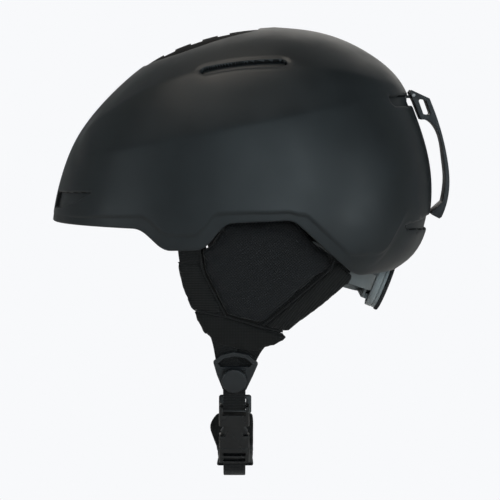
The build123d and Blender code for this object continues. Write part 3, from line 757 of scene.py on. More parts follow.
    def refine(self, shape: Shape, vents: list[Vent], reach: float) -> None:
        """Divide the flat grid's cells near the edges of the vents.

        Args:
            shape: The flat grid.
            vents: The vents.
            reach: How far from a vent's edge cells are divided, in millimetres.
        """
        shape.edges.ensure_lookup_table()
        middles = np.array([((e.verts[0].co + e.verts[1].co) / 2)[:2] for e in shape.edges])
        angle, row = unroll(middles, self.rows)
        outer = row < self.upper_rows + self.band_rows
        nearest = np.full(len(middles), 1e3)
        spots = self.spots(angle[outer], row[outer], [])
        for vent in vents:
            nearest[outer] = np.minimum(nearest[outer], np.abs(vent.distance(spots) + vent.wall / 2))
        chosen = [shape.edges[int(i)] for i in np.nonzero(nearest < reach + 1.2)[0]]
        bmesh.ops.subdivide_edges(shape, edges=chosen, cuts=1, use_grid_fill=True)


def unroll(flat: np.ndarray, rows: int) -> tuple[np.ndarray, np.ndarray]:
    """Angle and row of positions on a flat grid that runs from -1 to 1 both ways."""
    return (flat[:, 0] + 1) * math.pi, (1 - flat[:, 1]) / 2 * rows


def settle(shape: Shape, rows: int, place_all: Callable[[np.ndarray, np.ndarray], np.ndarray]) -> None:
    """Move a flat grid onto a closed surface, and close its seam and poles.

    Args:
        shape: The flat grid.
        rows: Its number of rows.
        place_all: Gives points in millimetres for angles and rows.
    """
    flat = np.array([v.co[:2] for v in shape.verts])
    angle, row = unroll(flat, rows)
    for vert, spot in zip(shape.verts, place_all(angle, row) * MM):
        vert.co = spot
    bmesh.ops.remove_doubles(shape, verts=shape.verts, dist=0.00002)
    bmesh.ops.recalc_face_normals(shape, faces=shape.faces)


@dataclass
class Liner:
    """The foam liner, with air channels inside and a recess for the dial at the nape."""

    surface: Surface
    start: float = 2.9
    inner: float = 26.0
    columns: int = 224
    rows: int = 110
    channel: float = 4.0
    well: float = 9.4

    def spots(self, angle: np.ndarray, row: np.ndarray, vents: list[Vent]) -> np.ndarray:
        """Place grid positions on the liner, from the crown inside, round the rim, to the crown outside."""
        edge = Edge([(y, z + 1.0) for y, z in RIM], soften=4.5, notch_half=35.0, notch_height=-18.0)
        rim = self.surface.down_to(angle, edge)
        inside = np.clip(row / 70, 0, 1)
        across = np.clip((row - 70) / 12, 0, 1)
        outside = np.clip((row - 82) / (self.rows - 82), 0, 1)
        down = rim * inside - rim * outside * 0.995 + 1.2 * np.sin(across * math.pi)
        inset = self.inner + (self.start - self.inner) * smoothstep(across)
        spot = self.surface.bare(angle, np.clip(down, 0, self.surface.down[-1]))
        for centre in (-30.0, 30.0):
            groove = np.exp(-(((spot[:, 0] - centre) / 6.0) ** 4)) * (1 - across)
            inset = inset - self.channel * groove * smoothstep((spot[:, 2] - 30) / 20)
        for vent in vents:
            under = (across >= 1) * smoothstep((3.0 - vent.distance(spot)) / 2.0)
            inset = inset + (self.well - self.start) * under
        normal = self.surface.normal(angle, np.clip(down, 0, self.surface.down[-1]))
        return spot - normal * inset[:, None]

    def build(self, vents: list[Vent]) -> Mesh:
        """Model the liner as a closed mesh, in metres, with a well under each vent."""
        shape = bmesh.new()
        bmesh.ops.create_grid(shape, x_segments=self.columns, y_segments=self.rows, size=1.0)
        settle(shape, self.rows, lambda angle, row: self.spots(angle, row, vents))
        return to_mesh(shape, "impact liner")


# ---------------------------------------------------------------------------
# Hard fittings
# ---------------------------------------------------------------------------


@dataclass
class Fitting:
    """A moulded or turned piece: the frame's own shape with its sharp edges eased."""

    node: str
    body: str
    slot: str
    finish: Finish
    edge: float = 0.3
    segments: int = 2
    sharp: float = 0.6

    def build(self) -> bpy.types.Object:
        """Ease the edges of a merged copy of the frame's node, and put it in the node's place.

        Returns:
            The finished piece.
        """
        shape = merged_copy(self.node)
        bmesh.ops.dissolve_limit(
            shape, angle_limit=0.012, verts=shape.verts, edges=shape.edges, use_dissolve_boundaries=False
        )
        hard = [e for e in shape.edges if len(e.link_faces) == 2 and e.calc_face_angle(0.0) > self.sharp]
        bmesh.ops.bevel(
            shape, geom=hard, offset=self.edge * MM, offset_type="OFFSET", segments=self.segments,
            profile=0.5, affect="EDGES", clamp_overlap=True, material=-1,
        )
        bmesh.ops.remove_doubles(shape, verts=shape.verts, dist=0.000005)
        mesh = to_mesh(shape, self.node)
        mesh.set_sharp_from_angle(angle=0.55)
        return finish_piece(mesh, self.node + ".eased", self.finish, self.body, [self.node])


def merged_copy(node: str) -> Shape:
    """A copy of a frame node's mesh with its loose triangles joined, in metres."""
    shape = bmesh.new()
    shape.from_mesh(frame["nodes"][node].data)
    bmesh.ops.remove_doubles(shape, verts=shape.verts, dist=0.000004)
    bmesh.ops.recalc_face_normals(shape, faces=shape.faces)
    return shape


def strap_fittings() -> list[Fitting]:
    """The side-release buckle, the slider and the dividers of the chin strap."""
    fittings = [
        Fitting("buckle_female", "chin_left", "trim_black", SATIN, 0.45),
        Fitting("buckle_male", "buckle_male", "trim_black", SATIN, 0.4),
        Fitting("buckle_prongs", "buckle_male", "trim_black", SATIN, 0.5, 3),
        Fitting("strap_slider", "strap_slider", "trim_black", SATIN, 0.4),
    ]
    for side in SIDES:
        fittings.append(Fitting(f"strap_divider_{side}", "helmet", "trim_black", DIVIDER_TRIM, 0.55, 3))
        fittings.append(Fitting(f"divider_cap_{side}", "helmet", "trim_black", DIVIDER_TRIM, 0.3))
    return fittings


def clip_fittings() -> list[Fitting]:
    """The sprung clip for a goggle strap, its anchor and its hinge pin."""
    return [
        Fitting("goggle_clip", "goggle_clip", "clip_rubber", CLIP, 0.7, 3),
        Fitting("clip_anchor", "helmet", "trim_black", MOULDED, 0.4),
        Fitting("clip_hinge_pin", "helmet", "steel", STEEL, 0.15),
    ]


@dataclass
class FitSystem:
    """The fit dial with its ribbed grip and collar, the housing, yoke and fit arms."""

    radius: float = 20.5
    inner: float = 17.9
    collar_inner: float = 15.4
    depth: float = 5.5
    grip_depth: float = 3.1
    ribs: int = 64
    rib_height: float = 0.45
    centre: Point = (0.0, 108.1, -46.8)
    tilt: float = 22.0

    def turned(self, profile: Outline) -> Shape:
        """Spin a closed profile of radius and height, in millimetres, round the dial's axis."""
        shape = bmesh.new()
        corners = [shape.verts.new((radius, 0.0, height)) for radius, height in profile]
        loop = [shape.edges.new((corners[i - 1], corners[i])) for i in range(len(corners))]
        bmesh.ops.spin(
            shape, geom=corners + loop, cent=(0, 0, 0), axis=(0, 0, 1), angle=math.tau, steps=self.ribs * 6,
            use_merge=True,
        )
        bmesh.ops.remove_doubles(shape, verts=shape.verts, dist=0.0005)
        bmesh.ops.recalc_face_normals(shape, faces=shape.faces)
        return shape

    def seated(self, shape: Shape, name: str) -> Mesh:
        """Move a turned shape from the origin to the dial's place."""
        lean = Matrix.Rotation(math.radians(-90 - self.tilt), 4, "X") @ Matrix.Rotation(math.pi, 4, "Z")
        return to_mesh(place(shape, Matrix.Translation(self.centre) @ lean), name)

    def grip(self) -> Mesh:
        """Turn the grip ring, then raise its finger ribs."""
        top, low = self.radius - self.rib_height, -self.grip_depth
        shape = self.turned([
            (self.inner, -0.6), (self.inner + 0.5, 0.0), (top - 1.0, 0.0), (top - 0.3, -0.3), (top, -1.0),
            (top, low + 0.9), (top - 0.3, low + 0.3), (top - 0.9, low),
            (self.inner + 0.5, low), (self.inner, low + 0.5),
        ])
        for vert in shape.verts:
            reach = math.hypot(vert.co.x, vert.co.y)
            if reach > top - 0.6:
                wave = math.cos(math.atan2(vert.co.y, vert.co.x) * self.ribs)
                lift = self.rib_height * max(0.0, wave + 0.35) / 1.35
                vert.co.x *= 1 + lift / reach
                vert.co.y *= 1 + lift / reach
        return self.seated(shape, "grip ring")

    def collar(self) -> Mesh:
        """Turn the pale collar that sits inside the grip ring."""
        inner, outer, rim = self.collar_inner, self.inner + 0.2, self.radius - 1.0
        step, low = 0.3 - self.grip_depth, -self.depth
        return self.seated(self.turned([
            (inner, -1.2), (inner + 0.5, -0.7), (outer - 0.5, -0.25), (outer, -0.5), (outer, step),
            (rim - 0.3, step), (rim, step - 0.3), (rim, low + 0.4), (rim - 0.4, low), (inner, low),
        ]), "dial collar")

    def build(self) -> None:
        """Build the dial and everything that it drives."""
        finish_piece(self.grip(), "dial_grip", RUBBER, "dial", ["dial_grip_ring"])
        finish_piece(self.collar(), "dial_collar", DIAL_GREY, "dial")
        Fitting("dial_knob", "dial", "dial_grey", DIAL_GREY, 0.5, 3).build()
        Fitting("dial_screw", "dial", "steel", STEEL, 0.12).build()
        for node, edge in (("dial_housing_cover", 0.4), ("dial_housing_base", 0.4), ("cradle_yoke", 0.5)):
            Fitting(node, "cradle", "cradle_grey", CRADLE, edge).build()
        for side in SIDES:
            Fitting(f"fit_arm_{side}", "helmet", "cradle_grey", CRADLE, 0.35).build()


# ---------------------------------------------------------------------------
# Straps
# ---------------------------------------------------------------------------


def bent_path(points: Sequence[Point], radius: float, spacing: float = 1.6) -> list[Vector]:
    """Round the corners of an open route, and step along it evenly.

    Args:
        points: The route's corners in millimetres.
        radius: How far before and after a corner its bend starts.
        spacing: Distance between steps in millimetres.

    Returns:
        Points along the route.
    """
    corners = [Vector(point) for point in points]
    dense: list[Vector] = [corners[0]]
    for before, here, after in zip(corners, corners[1:], corners[2:]):
        reach = min(radius, (before - here).length * 0.48, (after - here).length * 0.48)
        start = here + (before - here).normalized() * reach
        end = here + (after - here).normalized() * reach
        for step in range(25):
            part = step / 24
            dense.append(start * (1 - part) ** 2 + here * (2 * part * (1 - part)) + end * part**2)
    dense.append(corners[-1])
    lengths = [0.0]
    for before, after in zip(dense, dense[1:]):
        lengths.append(lengths[-1] + (after - before).length)
    count = max(2, round(lengths[-1] / spacing))
    wanted = np.linspace(0, lengths[-1], count + 1)
    columns = [np.interp(wanted, lengths, [p[axis] for p in dense]) for axis in range(3)]
    return [Vector(spot) for spot in zip(*columns)]


@dataclass
class Webbing:
    """A woven strap: a flat band swept along a route, with its weave following it."""

    width: float = 16.0
    thickness: float = 1.5

    def stations(self, path: list[Vector], fixed: Vector, faces: bool) -> list[Matrix]:
        """Frames along a route, across in X, through the strap in Y and along it in Z.

        Args:
            path: Points along the route.
            fixed: A direction that doesn't turn along the strap.
            faces: True if that direction is out of the strap's face, False if it is across.

        Returns:
            One frame for each point.
        """
        made = []
        for index, point in enumerate(path):
            after = path[min(index + 1, len(path) - 1)]
            before = path[max(index - 1, 0)]
            along = (after - before).normalized()
            if faces:
                across = fixed.cross(along).normalized()
                face = along.cross(across).normalized()
            else:
                face = along.cross(fixed).normalized()
                across = face.cross(along).normalized()
            frame_here = Matrix((across, face, along)).transposed().to_4x4()
            frame_here.translation = point
            made.append(frame_here)
        return made

    def sweep(self, stations: list[Matrix], base: Matrix, name: str) -> Mesh:
        """Sweep the strap's section along its frames.

        Args:
            stations: Frames along the strap in millimetres.
            base: From those frames' space to the helmet's.
            name: The mesh's name.

        Returns:
            The strap, with its own UV map in metres.
        """
        half, deep = self.width / 2, self.thickness / 2
        ease = min(0.5, deep * 0.7)
        ribs = 9
        top = [(half - ease - (2 * (half - ease)) * i / ribs, deep) for i in range(ribs + 1)]
        near, far = -deep + ease, deep - ease
        section = [(half, near), (half, far), *top, (-half, far), (-half, near)]
        section += [(x, -deep) for x, _ in reversed(top)]
        shape = bmesh.new()
        down = shape.verts.layers.float.new("down the strap")
        side = shape.verts.layers.float.new("across the strap")
        corners = [shape.verts.new((x, y, 0.0)) for x, y in section]
        for corner, (x, y) in zip(corners, section):
            corner[side] = x * MM
        rim = [shape.edges.new((corners[i - 1], corners[i])) for i in range(len(corners))]
        bmesh.ops.transform(shape, matrix=stations[0], verts=corners)
        shape.faces.new(corners)
        travelled = 0.0
        for before, after in zip(stations, stations[1:]):
            travelled += (after.translation - before.translation).length * MM
            lifted = bmesh.ops.extrude_edge_only(shape, edges=rim)["geom"]
            verts = [item for item in lifted if isinstance(item, bmesh.types.BMVert)]
            rim = [item for item in lifted if isinstance(item, bmesh.types.BMEdge) and item.is_boundary]
            bmesh.ops.transform(shape, matrix=after @ before.inverted(), verts=verts)
            for vert in verts:
                vert[down] = travelled
        bmesh.ops.holes_fill(shape, edges=rim, sides=0)
        bmesh.ops.recalc_face_normals(shape, faces=shape.faces)
        chart = shape.loops.layers.uv.new("weave")
        for face in shape.faces:
            for corner in face.loops:
                corner[chart].uv = (corner.vert[down], corner.vert[side])
        return to_mesh(place(shape, base), name)


@dataclass
class Straps:
    """The front and rear straps of both sides, and the two halves of the chin strap."""

    webbing: Webbing
    cheek_x: float = 84.0
    lean: float = LEAN
    pivot: tuple[float, float] = (-5.5, -110.0)
    front: Line = ((-38, 8), (-37.5, -20), (-31, -46), (-14.5, -73), (-9.5, -103.2))
    rear: Line = ((74, -9), (71.5, -30), (26, -67), (8, -83), (-1, -103.2))
    bend: float = 18.0
    chin_level: float = 6.25

    def cheek(self) -> Matrix:
        """From the leaning cheek plane (back, up along it, out of it) to the helmet."""
        lean = math.radians(self.lean)
        columns = ((0, 1, 0), (math.sin(lean), 0, math.cos(lean)), (math.cos(lean), 0, -math.sin(lean)))
        matrix = Matrix(columns).transposed().to_4x4()
        matrix.translation = (self.cheek_x, 0, 0)
        return matrix

    def on_cheek(self, height: float, layer: float) -> float:
        """Distance up the cheek plane to a height, on one of its layers."""
        lean = math.radians(self.lean)
        return (height + layer * math.sin(lean)) / math.cos(lean)

    def flat(self, route: Sequence[tuple[float, float]], layer: float) -> list[Point]:
        """A route seen from the side, laid on one layer of the cheek plane."""
        return [(back, self.on_cheek(up, layer), layer) for back, up in route]

    def cheek_strap(self, route: Sequence[tuple[float, float]], layer: float, name: str) -> Mesh:
        """Sweep one strap that lies flat on the cheek plane."""
        path = bent_path(self.flat(route, layer), self.bend)
        stations = self.webbing.stations(path, Vector((0, 0, 1)), True)
        return self.webbing.sweep(stations, self.cheek(), name)

    def chin_left(self) -> Mesh:
        """The short strap from the divider, round the buckle's bar and back up behind."""
        level = self.chin_level
        bar = self.on_cheek(-129.3, level) - 1.1
        start = self.on_cheek(self.pivot[1], level) + 7.4
        back = self.pivot[0]
        route = [
            (back, start, level), (back, bar + 9, level),
            (back, bar + 3.2, level + 2.1), (back, bar - 2.2, level + 2.1),
            (back, bar - 2.3, level - 2.1), (back, bar + 3.2, level - 2.1), (back, bar + 10, level - 1.7),
            (back, bar + 13.5, level - 1.6),
        ]
        stations = self.webbing.stations(bent_path(route, 2.2, 0.7), Vector((1, 0, 0)), False)
        return self.webbing.sweep(stations, self.cheek(), "chin strap left")

    def chin_right(self) -> Mesh:
        """The long strap from the buckle's ladder, under the chin and up to the right divider."""
        lean = math.radians(self.lean)
        level = self.chin_level
        top_x = self.cheek_x + self.on_cheek(self.pivot[1], level) * math.sin(lean) + level * math.cos(lean)
        beside = {z: top_x + (z - self.pivot[1]) * math.tan(lean) for z in (-162.6, -180.0, -102.8)}
        back = self.pivot[0]
        route = [
            (beside[-162.6], back, -162.6), (beside[-180.0], back, -180.0),
            (22.0, back, -186.4), (-22.0, back, -186.4),
            (-beside[-180.0], back, -180.0), (-beside[-102.8], back, -102.8),
        ]
        stations = self.webbing.stations(bent_path(route, 13.0), Vector((0, 1, 0)), False)
        return self.webbing.sweep(stations, Matrix.Identity(4), "chin strap right")

    def build(self) -> None:
        """Build all six straps."""
        for side, sign in SIDES.items():
            for part, route, layer in (("front", self.front, 1.15), ("rear", self.rear, -0.75)):
                mesh = sided(self.cheek_strap(route, layer, f"{part} strap"), sign, f"{part} strap {side}")
                node = f"{part}_strap_{side}"
                finish_piece(mesh, node + ".woven", WEBBING, "helmet", [node])
        for side, mesh in (("left", self.chin_left()), ("right", self.chin_right())):
            node = f"chin_strap_{side}"
            finish_piece(mesh, node + ".woven", WEBBING, f"chin_{side}", [node])


# ---------------------------------------------------------------------------
# Padding
# ---------------------------------------------------------------------------


@dataclass
class Pad:
    """A fabric-covered pad, filled out by a cloth simulation from the frame's shape."""

    node: str
    finish: Finish
    slot: str
    body: str = "helmet"
    voxel: float = 3.0
    pressure: float = 4.0
    most: float = 1.6
    fill: float = 0.6
    shrink: float = 0.5
    frames: int = 16

    def start(self) -> bpy.types.Object:
        """Make the pad's starting shape: an even skin, a little smaller than the finished pad.

        Returns:
            A working object that the simulation acts on.
        """
        shape = merged_copy(self.node)
        rough = bpy.data.objects.new(self.node + ".rough", to_mesh(shape, self.node))
        bpy.context.scene.collection.objects.link(rough)
        remesh = rough.modifiers.new("even skin", "REMESH")
        remesh.mode = "VOXEL"
        remesh.voxel_size = self.voxel * MM
        even = bmesh.new()
        even.from_mesh(rough.evaluated_get(bpy.context.evaluated_depsgraph_get()).to_mesh())
        bpy.data.objects.remove(rough)
        for _ in range(2):
            bmesh.ops.smooth_vert(
                even, verts=even.verts, factor=0.5, use_axis_x=True, use_axis_y=True, use_axis_z=True
            )
        even.normal_update()
        for vert in even.verts:
            vert.co -= vert.normal * self.shrink * MM * 0.5
        skin = bpy.data.objects.new(self.node + ".skin", to_mesh(even, self.node))
        bpy.context.scene.collection.objects.link(skin)
        return skin

    def simulate(self, skin: bpy.types.Object) -> None:
        """Give the skin cloth settings; the frames are stepped for all pads together."""
        cloth = skin.modifiers.new("filling", "CLOTH")
        cloth.settings.use_pressure = True
        cloth.settings.uniform_pressure_force = self.pressure
        cloth.settings.effector_weights.gravity = 0.0
        cloth.settings.tension_stiffness = 15.0
        cloth.settings.compression_stiffness = 15.0
        cloth.point_cache.frame_end = self.frames

    def finish_skin(self, skin: bpy.types.Object) -> Mesh:
        """Read the simulated shape, cap how far its points moved, and drop the working object.

        Args:
            skin: The working object at the last frame.

        Returns:
            The pad's mesh in metres.
        """
        before = np.array([v.co for v in skin.data.vertices])
        evaluated = skin.evaluated_get(bpy.context.evaluated_depsgraph_get())
        after = np.array([v.co for v in evaluated.data.vertices])
        moved = after - before if len(after) == len(before) else np.zeros_like(before)
        moved -= moved.mean(axis=0)
        length = np.linalg.norm(moved, axis=1)[:, None] + 1e-12
        moved *= np.minimum(length, self.most * MM) / length
        mesh = skin.data.copy()
        mesh.vertices.foreach_set("co", (before + moved).astype(np.float32).ravel())
        mesh.name = self.node + " padding"
        bpy.data.objects.remove(skin)
        return mesh

    def shaped(self, mesh: Mesh) -> Mesh:
        """Give the pad the outline that its sewing pattern gives it; most keep the frame's."""
        return mesh

    def finished(self, mesh: Mesh, node: str) -> None:
        """Put the pad into the scene, with one subdivision, as a padded piece."""
        piece = finish_piece(mesh, node + ".pad", self.finish, self.body, [node])
        rounding = piece.modifiers.new("rounding", "SUBSURF")
        rounding.levels = 1
        rounding.render_levels = 1


@dataclass
class HemPad(Pad):
    """The hem of the ear flap: a curved band that runs on into the rear sleeve."""

    top: Line = ((-35, -59.2), (-12, -63.4), (14.4, -71.3), (31.5, -75.3))
    cut: Line = ((-35, -60.2), (-26, -73), (-19, -87.6), (13.5, -87.6), (31.5, -76.3))
    curve: Line = (
        (-36, -60.5), (-27, -76.5), (-16, -84), (-4, -87.6), (12, -88.6), (22, -86), (34, -80.6),
    )
    tip: float = 33.5
    tip_drop: float = 2.6

    def shaped(self, mesh: Mesh) -> Mesh:
        """Draw the lower edge out into its curve, and the rear end to its tip.

        Args:
            mesh: The filled pad.

        Returns:
            The same mesh, reshaped.
        """
        last = self.top[-1][0]
        for vert in mesh.vertices:
            back, up = vert.co.y / MM, vert.co.z / MM
            high = np.interp(back, *zip(*self.top))
            part = (high - up) / max(1.0, high - np.interp(back, *zip(*self.cut)))
            along = max(0.0, back) / last
            drawn = back + along * (self.tip - last)
            above = high - along * self.tip_drop
            vert.co.y = drawn * MM
            vert.co.z = (above - part * (above - np.interp(drawn, *zip(*self.curve)))) * MM
        return mesh


@dataclass
class ChinPad(Pad):
    """The chin pad, which bulges forward on each side and narrows under the chin."""

    middle: float = -5.5
    half: float = 17.5
    front_reach: float = 21.2
    back_reach: float = 14.6
    narrow: float = 14.0
    corner: float = -160.0
    lowest: float = -187.6
    stretch: float = 0.7
    stretch_from: float = -170.0
    squeeze: float = 0.68
    squeeze_from: float = -165.0
    bulge_above: float = 12.0
    bulge_below: float = 24.0

    def shaped(self, mesh: Mesh) -> Mesh:
        """Widen the pad forwards round its corner, and narrow it towards its lowest line.

        Args:
            mesh: The filled pad.

        Returns:
            The same mesh, reshaped.
        """
        for vert in mesh.vertices:
            across = (vert.co.y / MM - self.middle) / self.half
            rise = max(0.0, vert.co.z / MM - self.stretch_from) * self.stretch
            height = vert.co.z / MM + rise
            reach = self.bulge_above if height > self.corner else self.bulge_below
            bulge = max(0.0, 1.0 - abs(height - self.corner) / reach)
            front = self.narrow + (self.front_reach - self.narrow) * bulge
            vert.co.x += math.copysign(rise * math.tan(math.radians(LEAN)), vert.co.x) * MM
            vert.co.y = (self.middle + across * (front if across < 0 else self.back_reach)) * MM
            height = max(height, self.lowest)
            vert.co.z = (height - min(0.0, height - self.squeeze_from) * (1 - self.squeeze)) * MM
        return mesh


@dataclass
class Padding:
    """Every pad of the helmet: ear flaps, comfort pads, nape pad and chin pad."""

    def pads(self) -> list[Pad]:
        """The pads that are simulated; those of the right side mirror those of the left."""
        thin = {"slot": "plain_fabric", "voxel": 2.0, "most": 0.9, "fill": 0.3, "shrink": 0.0}
        return [
            Pad("ear_pad_left", SPACER, "mesh_fabric", voxel=2.6, most=1.8),
            Pad("ear_sleeve_front_left", FRONT_SLEEVE, **thin),
            Pad("ear_sleeve_rear_left", REAR_SLEEVE, **thin),
            HemPad("ear_hem_left", SLEEVE, **thin),
            Pad("side_pad_left", PANEL, "pad_fabric"),
            Pad("brow_pad", PANEL, "pad_fabric"),
            Pad("crown_pad", PANEL, "pad_fabric"),
            Pad("rear_pad", PANEL, "pad_fabric"),
            Pad("nape_pad", PANEL, "pad_fabric", body="cradle", voxel=2.4, most=1.0),
            ChinPad("chin_pad", SLEEVE, "plain_fabric", body="chin_right", voxel=2.6, most=1.2, fill=0.4),
        ]

    def build(self) -> None:
        """Simulate all pads together, then put each into the scene."""
        pads = self.pads()
        skins = [pad.start() for pad in pads]
        for pad, skin in zip(pads, skins):
            pad.simulate(skin)
        for step in range(1, Pad.frames + 1):
            bpy.context.scene.frame_set(step)
        for pad, skin in zip(pads, skins):
            mesh = pad.shaped(pad.finish_skin(skin))
            if pad.node.endswith("_left"):
                other = pad.node.replace("_left", "_right")
                pad.finished(mirrored_copy(mesh, other), other)
            pad.finished(mesh, pad.node)
        bpy.context.scene.frame_set(1)


@dataclass
class Piping:
    """The stitched dark cords that run along the seams of each ear flap."""

    straps: Straps
    radius: float = 0.55
    layer: float = 3.1
    seams: tuple[Line, ...] = (
        ((-29.2, -18), (-28.4, -29.5), (-11.6, -63)),
        ((-38.2, -50.5), (-35.0, -58.9), (-12, -63.6), (14.4, -71.4), (29.5, -74.9)),
        ((15.2, -70.4), (46, -44.5), (64, -28.5), (66.2, -22)),
    )

    def cord(self, seam: Sequence[tuple[float, float]], name: str) -> Mesh:
        """One cord, lying on the outside of the flap along a seam."""
        path = bent_path(self.straps.flat(seam, self.layer), 7.0, 1.4)
        stations = Webbing().stations(path, Vector((0, 0, 1)), True)
        shape = bmesh.new()
        start = bmesh.ops.create_circle(shape, cap_ends=True, segments=10, radius=self.radius)["verts"]
        rim = [e for e in shape.edges if e.is_boundary]
        bmesh.ops.transform(shape, matrix=stations[0], verts=start)
        for before, after in zip(stations, stations[1:]):
            lifted = bmesh.ops.extrude_edge_only(shape, edges=rim)["geom"]
            verts = [item for item in lifted if isinstance(item, bmesh.types.BMVert)]
            rim = [item for item in lifted if isinstance(item, bmesh.types.BMEdge) and item.is_boundary]
            bmesh.ops.transform(shape, matrix=after @ before.inverted(), verts=verts)
        bmesh.ops.holes_fill(shape, edges=rim, sides=0)
        bmesh.ops.recalc_face_normals(shape, faces=shape.faces)
        return to_mesh(place(shape, self.straps.cheek()), name)

    def build(self) -> None:
        """Lay the cords on both flaps."""
        for index, seam in enumerate(self.seams):
            for side, sign in SIDES.items():
                mesh = sided(self.cord(seam, f"piping {index}"), sign, f"piping {index} {side}")
                finish_piece(mesh, f"piping_{index}_{side}", PIPING, "helmet")


# ---------------------------------------------------------------------------
# Stage
# ---------------------------------------------------------------------------


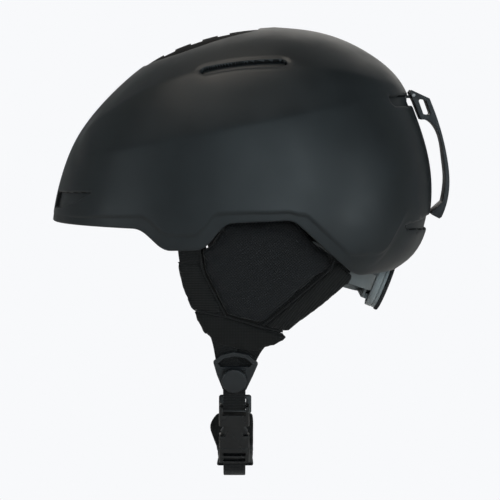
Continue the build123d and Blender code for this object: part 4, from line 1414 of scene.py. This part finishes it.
@dataclass
class Studio:
    """Camera, soft lights and a pale sweep behind and under the helmet."""

    distance: float = 1.8
    elevation: float = 4.0
    view_width: float = 0.3725
    aim: Point = (0.0, 0.00596, -0.02086)
    floor: float = -0.32
    tone: Point = (0.93, 0.93, 0.93)
    backdrop: Point = (0.939, 0.947, 0.965)
    fill: float = 0.10

    def camera(self) -> None:
        """Set the camera level with the wearer's left side, slightly above it."""
        data = bpy.data.cameras.new("camera")
        data.sensor_width = 36.0
        data.lens = data.sensor_width * self.distance / self.view_width
        data.clip_end = 30.0
        camera = bpy.data.objects.new("camera", data)
        bpy.context.scene.collection.objects.link(camera)
        lift = math.radians(self.elevation)
        back = Vector((math.cos(lift), 0.0, math.sin(lift)))
        camera.location = Vector(self.aim) + back * self.distance
        camera.rotation_mode = "QUATERNION"
        camera.rotation_quaternion = (-back).to_track_quat("-Z", "Y")
        bpy.context.scene.camera = camera

    def light(
        self, name: str, spot: Point, size: float, power: float,
        colour: Point = (1.0, 1.0, 1.0),
    ) -> None:
        """Hang one soft square light that faces the helmet.

        Args:
            name: The light's name.
            spot: Where it hangs, in metres.
            size: Its side in metres.
            power: Its power in watts.
            colour: Its colour.
        """
        data = bpy.data.lights.new(name, "AREA")
        data.shape = "SQUARE"
        data.size = size
        data.energy = power
        data.color = colour
        lamp = bpy.data.objects.new(name, data)
        lamp.location = spot
        lamp.rotation_mode = "QUATERNION"
        lamp.rotation_quaternion = Vector(spot).to_track_quat("Z", "Y")
        bpy.context.scene.collection.objects.link(lamp)

    def world(self) -> None:
        """Fill the surroundings with pale, even light."""
        world = bpy.data.worlds.new("studio")
        world.use_nodes = True
        background = world.node_tree.nodes["Background"]
        background.inputs["Color"].default_value = (*self.tone, 1.0)
        background.inputs["Strength"].default_value = self.fill
        bpy.context.scene.world = world

    def sweep(self) -> None:
        """Lay a pale floor that curves up far behind the helmet on every side."""
        shape = bmesh.new()
        bmesh.ops.create_circle(shape, cap_ends=True, segments=96, radius=3.0)
        rim = [e for e in shape.edges if e.is_boundary]
        for grow, rise in ((1.16, 0.12), (1.12, 0.34), (1.06, 0.6), (1.02, 1.2), (1.0, 3.0)):
            lifted = bmesh.ops.extrude_edge_only(shape, edges=rim)["geom"]
            verts = [item for item in lifted if isinstance(item, bmesh.types.BMVert)]
            rim = [item for item in lifted if isinstance(item, bmesh.types.BMEdge) and item.is_boundary]
            bmesh.ops.scale(shape, verts=verts, vec=(grow, grow, 1.0))
            bmesh.ops.translate(shape, verts=verts, vec=(0.0, 0.0, rise))
        bmesh.ops.translate(shape, verts=shape.verts, vec=(0.0, 0.0, self.floor))
        mesh = to_mesh(shape, "floor")
        material = bpy.data.materials.new("pale floor")
        material.use_nodes = True
        tree = material.node_tree
        shader = tree.nodes["Principled BSDF"]
        shader.inputs["Base Color"].default_value = (*self.tone, 1.0)
        shader.inputs["Roughness"].default_value = 0.9
        glow = tree.nodes.new("ShaderNodeEmission")
        glow.inputs["Color"].default_value = (*self.backdrop, 1.0)
        seen = tree.nodes.new("ShaderNodeLightPath")
        mix = tree.nodes.new("ShaderNodeMixShader")
        tree.links.new(seen.outputs["Is Camera Ray"], mix.inputs["Fac"])
        tree.links.new(shader.outputs["BSDF"], mix.inputs[1])
        tree.links.new(glow.outputs["Emission"], mix.inputs[2])
        tree.links.new(mix.outputs["Shader"], tree.nodes["Material Output"].inputs["Surface"])
        mesh.materials.append(material)
        floor = bpy.data.objects.new("floor", mesh)
        bpy.context.scene.collection.objects.link(floor)

    def build(self) -> None:
        """Set up everything round the helmet."""
        bpy.context.scene.view_settings.view_transform = "Standard"
        self.camera()
        self.world()
        self.sweep()
        self.light("front", (2.5, 0.5, 0.3), 1.8, 16.5, (0.78, 0.93, 1.0))
        self.light("nape", (1.3, 1.7, -0.05), 0.9, 6.5, (0.82, 0.95, 1.0))
        self.light("top", (0.2, -0.5, 2.0), 1.2, 10.0, (1.0, 0.92, 0.82))
        self.light("brow", (1.1, -1.9, 0.0), 0.9, 4.0, (0.84, 0.95, 1.0))
        self.light("behind", (-1.7, 0.2, 0.9), 1.4, 5.0, (1.0, 0.96, 0.9))


def dress_frame_nodes() -> None:
    """Give every frame node that still shows its own finish."""
    # Painted shade: the crown vent insert and side vent frames are near black for the shade inside the vents.
    by_node = {
        "crown_vent_insert": VENT_TRIM_SHADE, "side_vent_frame_left": VENT_TRIM_SHADE, "side_vent_frame_right": VENT_TRIM_SHADE,
    }
    by_slot = {
        "shell_black": SHELL, "liner_foam": FOAM, "vent_insert": VENT_MESH_AND_SHADE, "trim_black": MOULDED,
        "cradle_grey": CRADLE, "dial_grey": DIAL_GREY, "dial_rubber": RUBBER, "clip_rubber": CLIP,
        "steel": STEEL, "webbing": PANEL, "mesh_fabric": SPACER, "plain_fabric": PANEL,
        "pad_fabric": PANEL, "hook_tape": PANEL,
    }
    slots = {entry["node"]: entry["material_slot"] for entry in frame["record"]["subparts"]}
    for name, node in frame["nodes"].items():
        material = by_node.get(name, by_slot[slots[name]]).material()
        for held in node.material_slots:
            held.material = material


def main() -> None:
    """Build the studio and every piece of the helmet in order."""
    logging.basicConfig(level=logging.INFO, format="%(name)s %(message)s")
    Studio().build()
    dress_frame_nodes()
    surface = Surface()
    vents = helmet_vents()
    finish_piece(Shell(surface).build(vents), "shell", SHELL, "helmet", ["outer_shell"])
    finish_piece(Liner(surface).build(vents), "liner", FOAM, "helmet", ["impact_liner"])
    straps = Straps(Webbing())
    straps.build()
    Padding().build()
    Piping(straps).build()
    for fitting in strap_fittings() + clip_fittings():
        fitting.build()
    FitSystem().build()


if __name__ == "__main__":
    main()
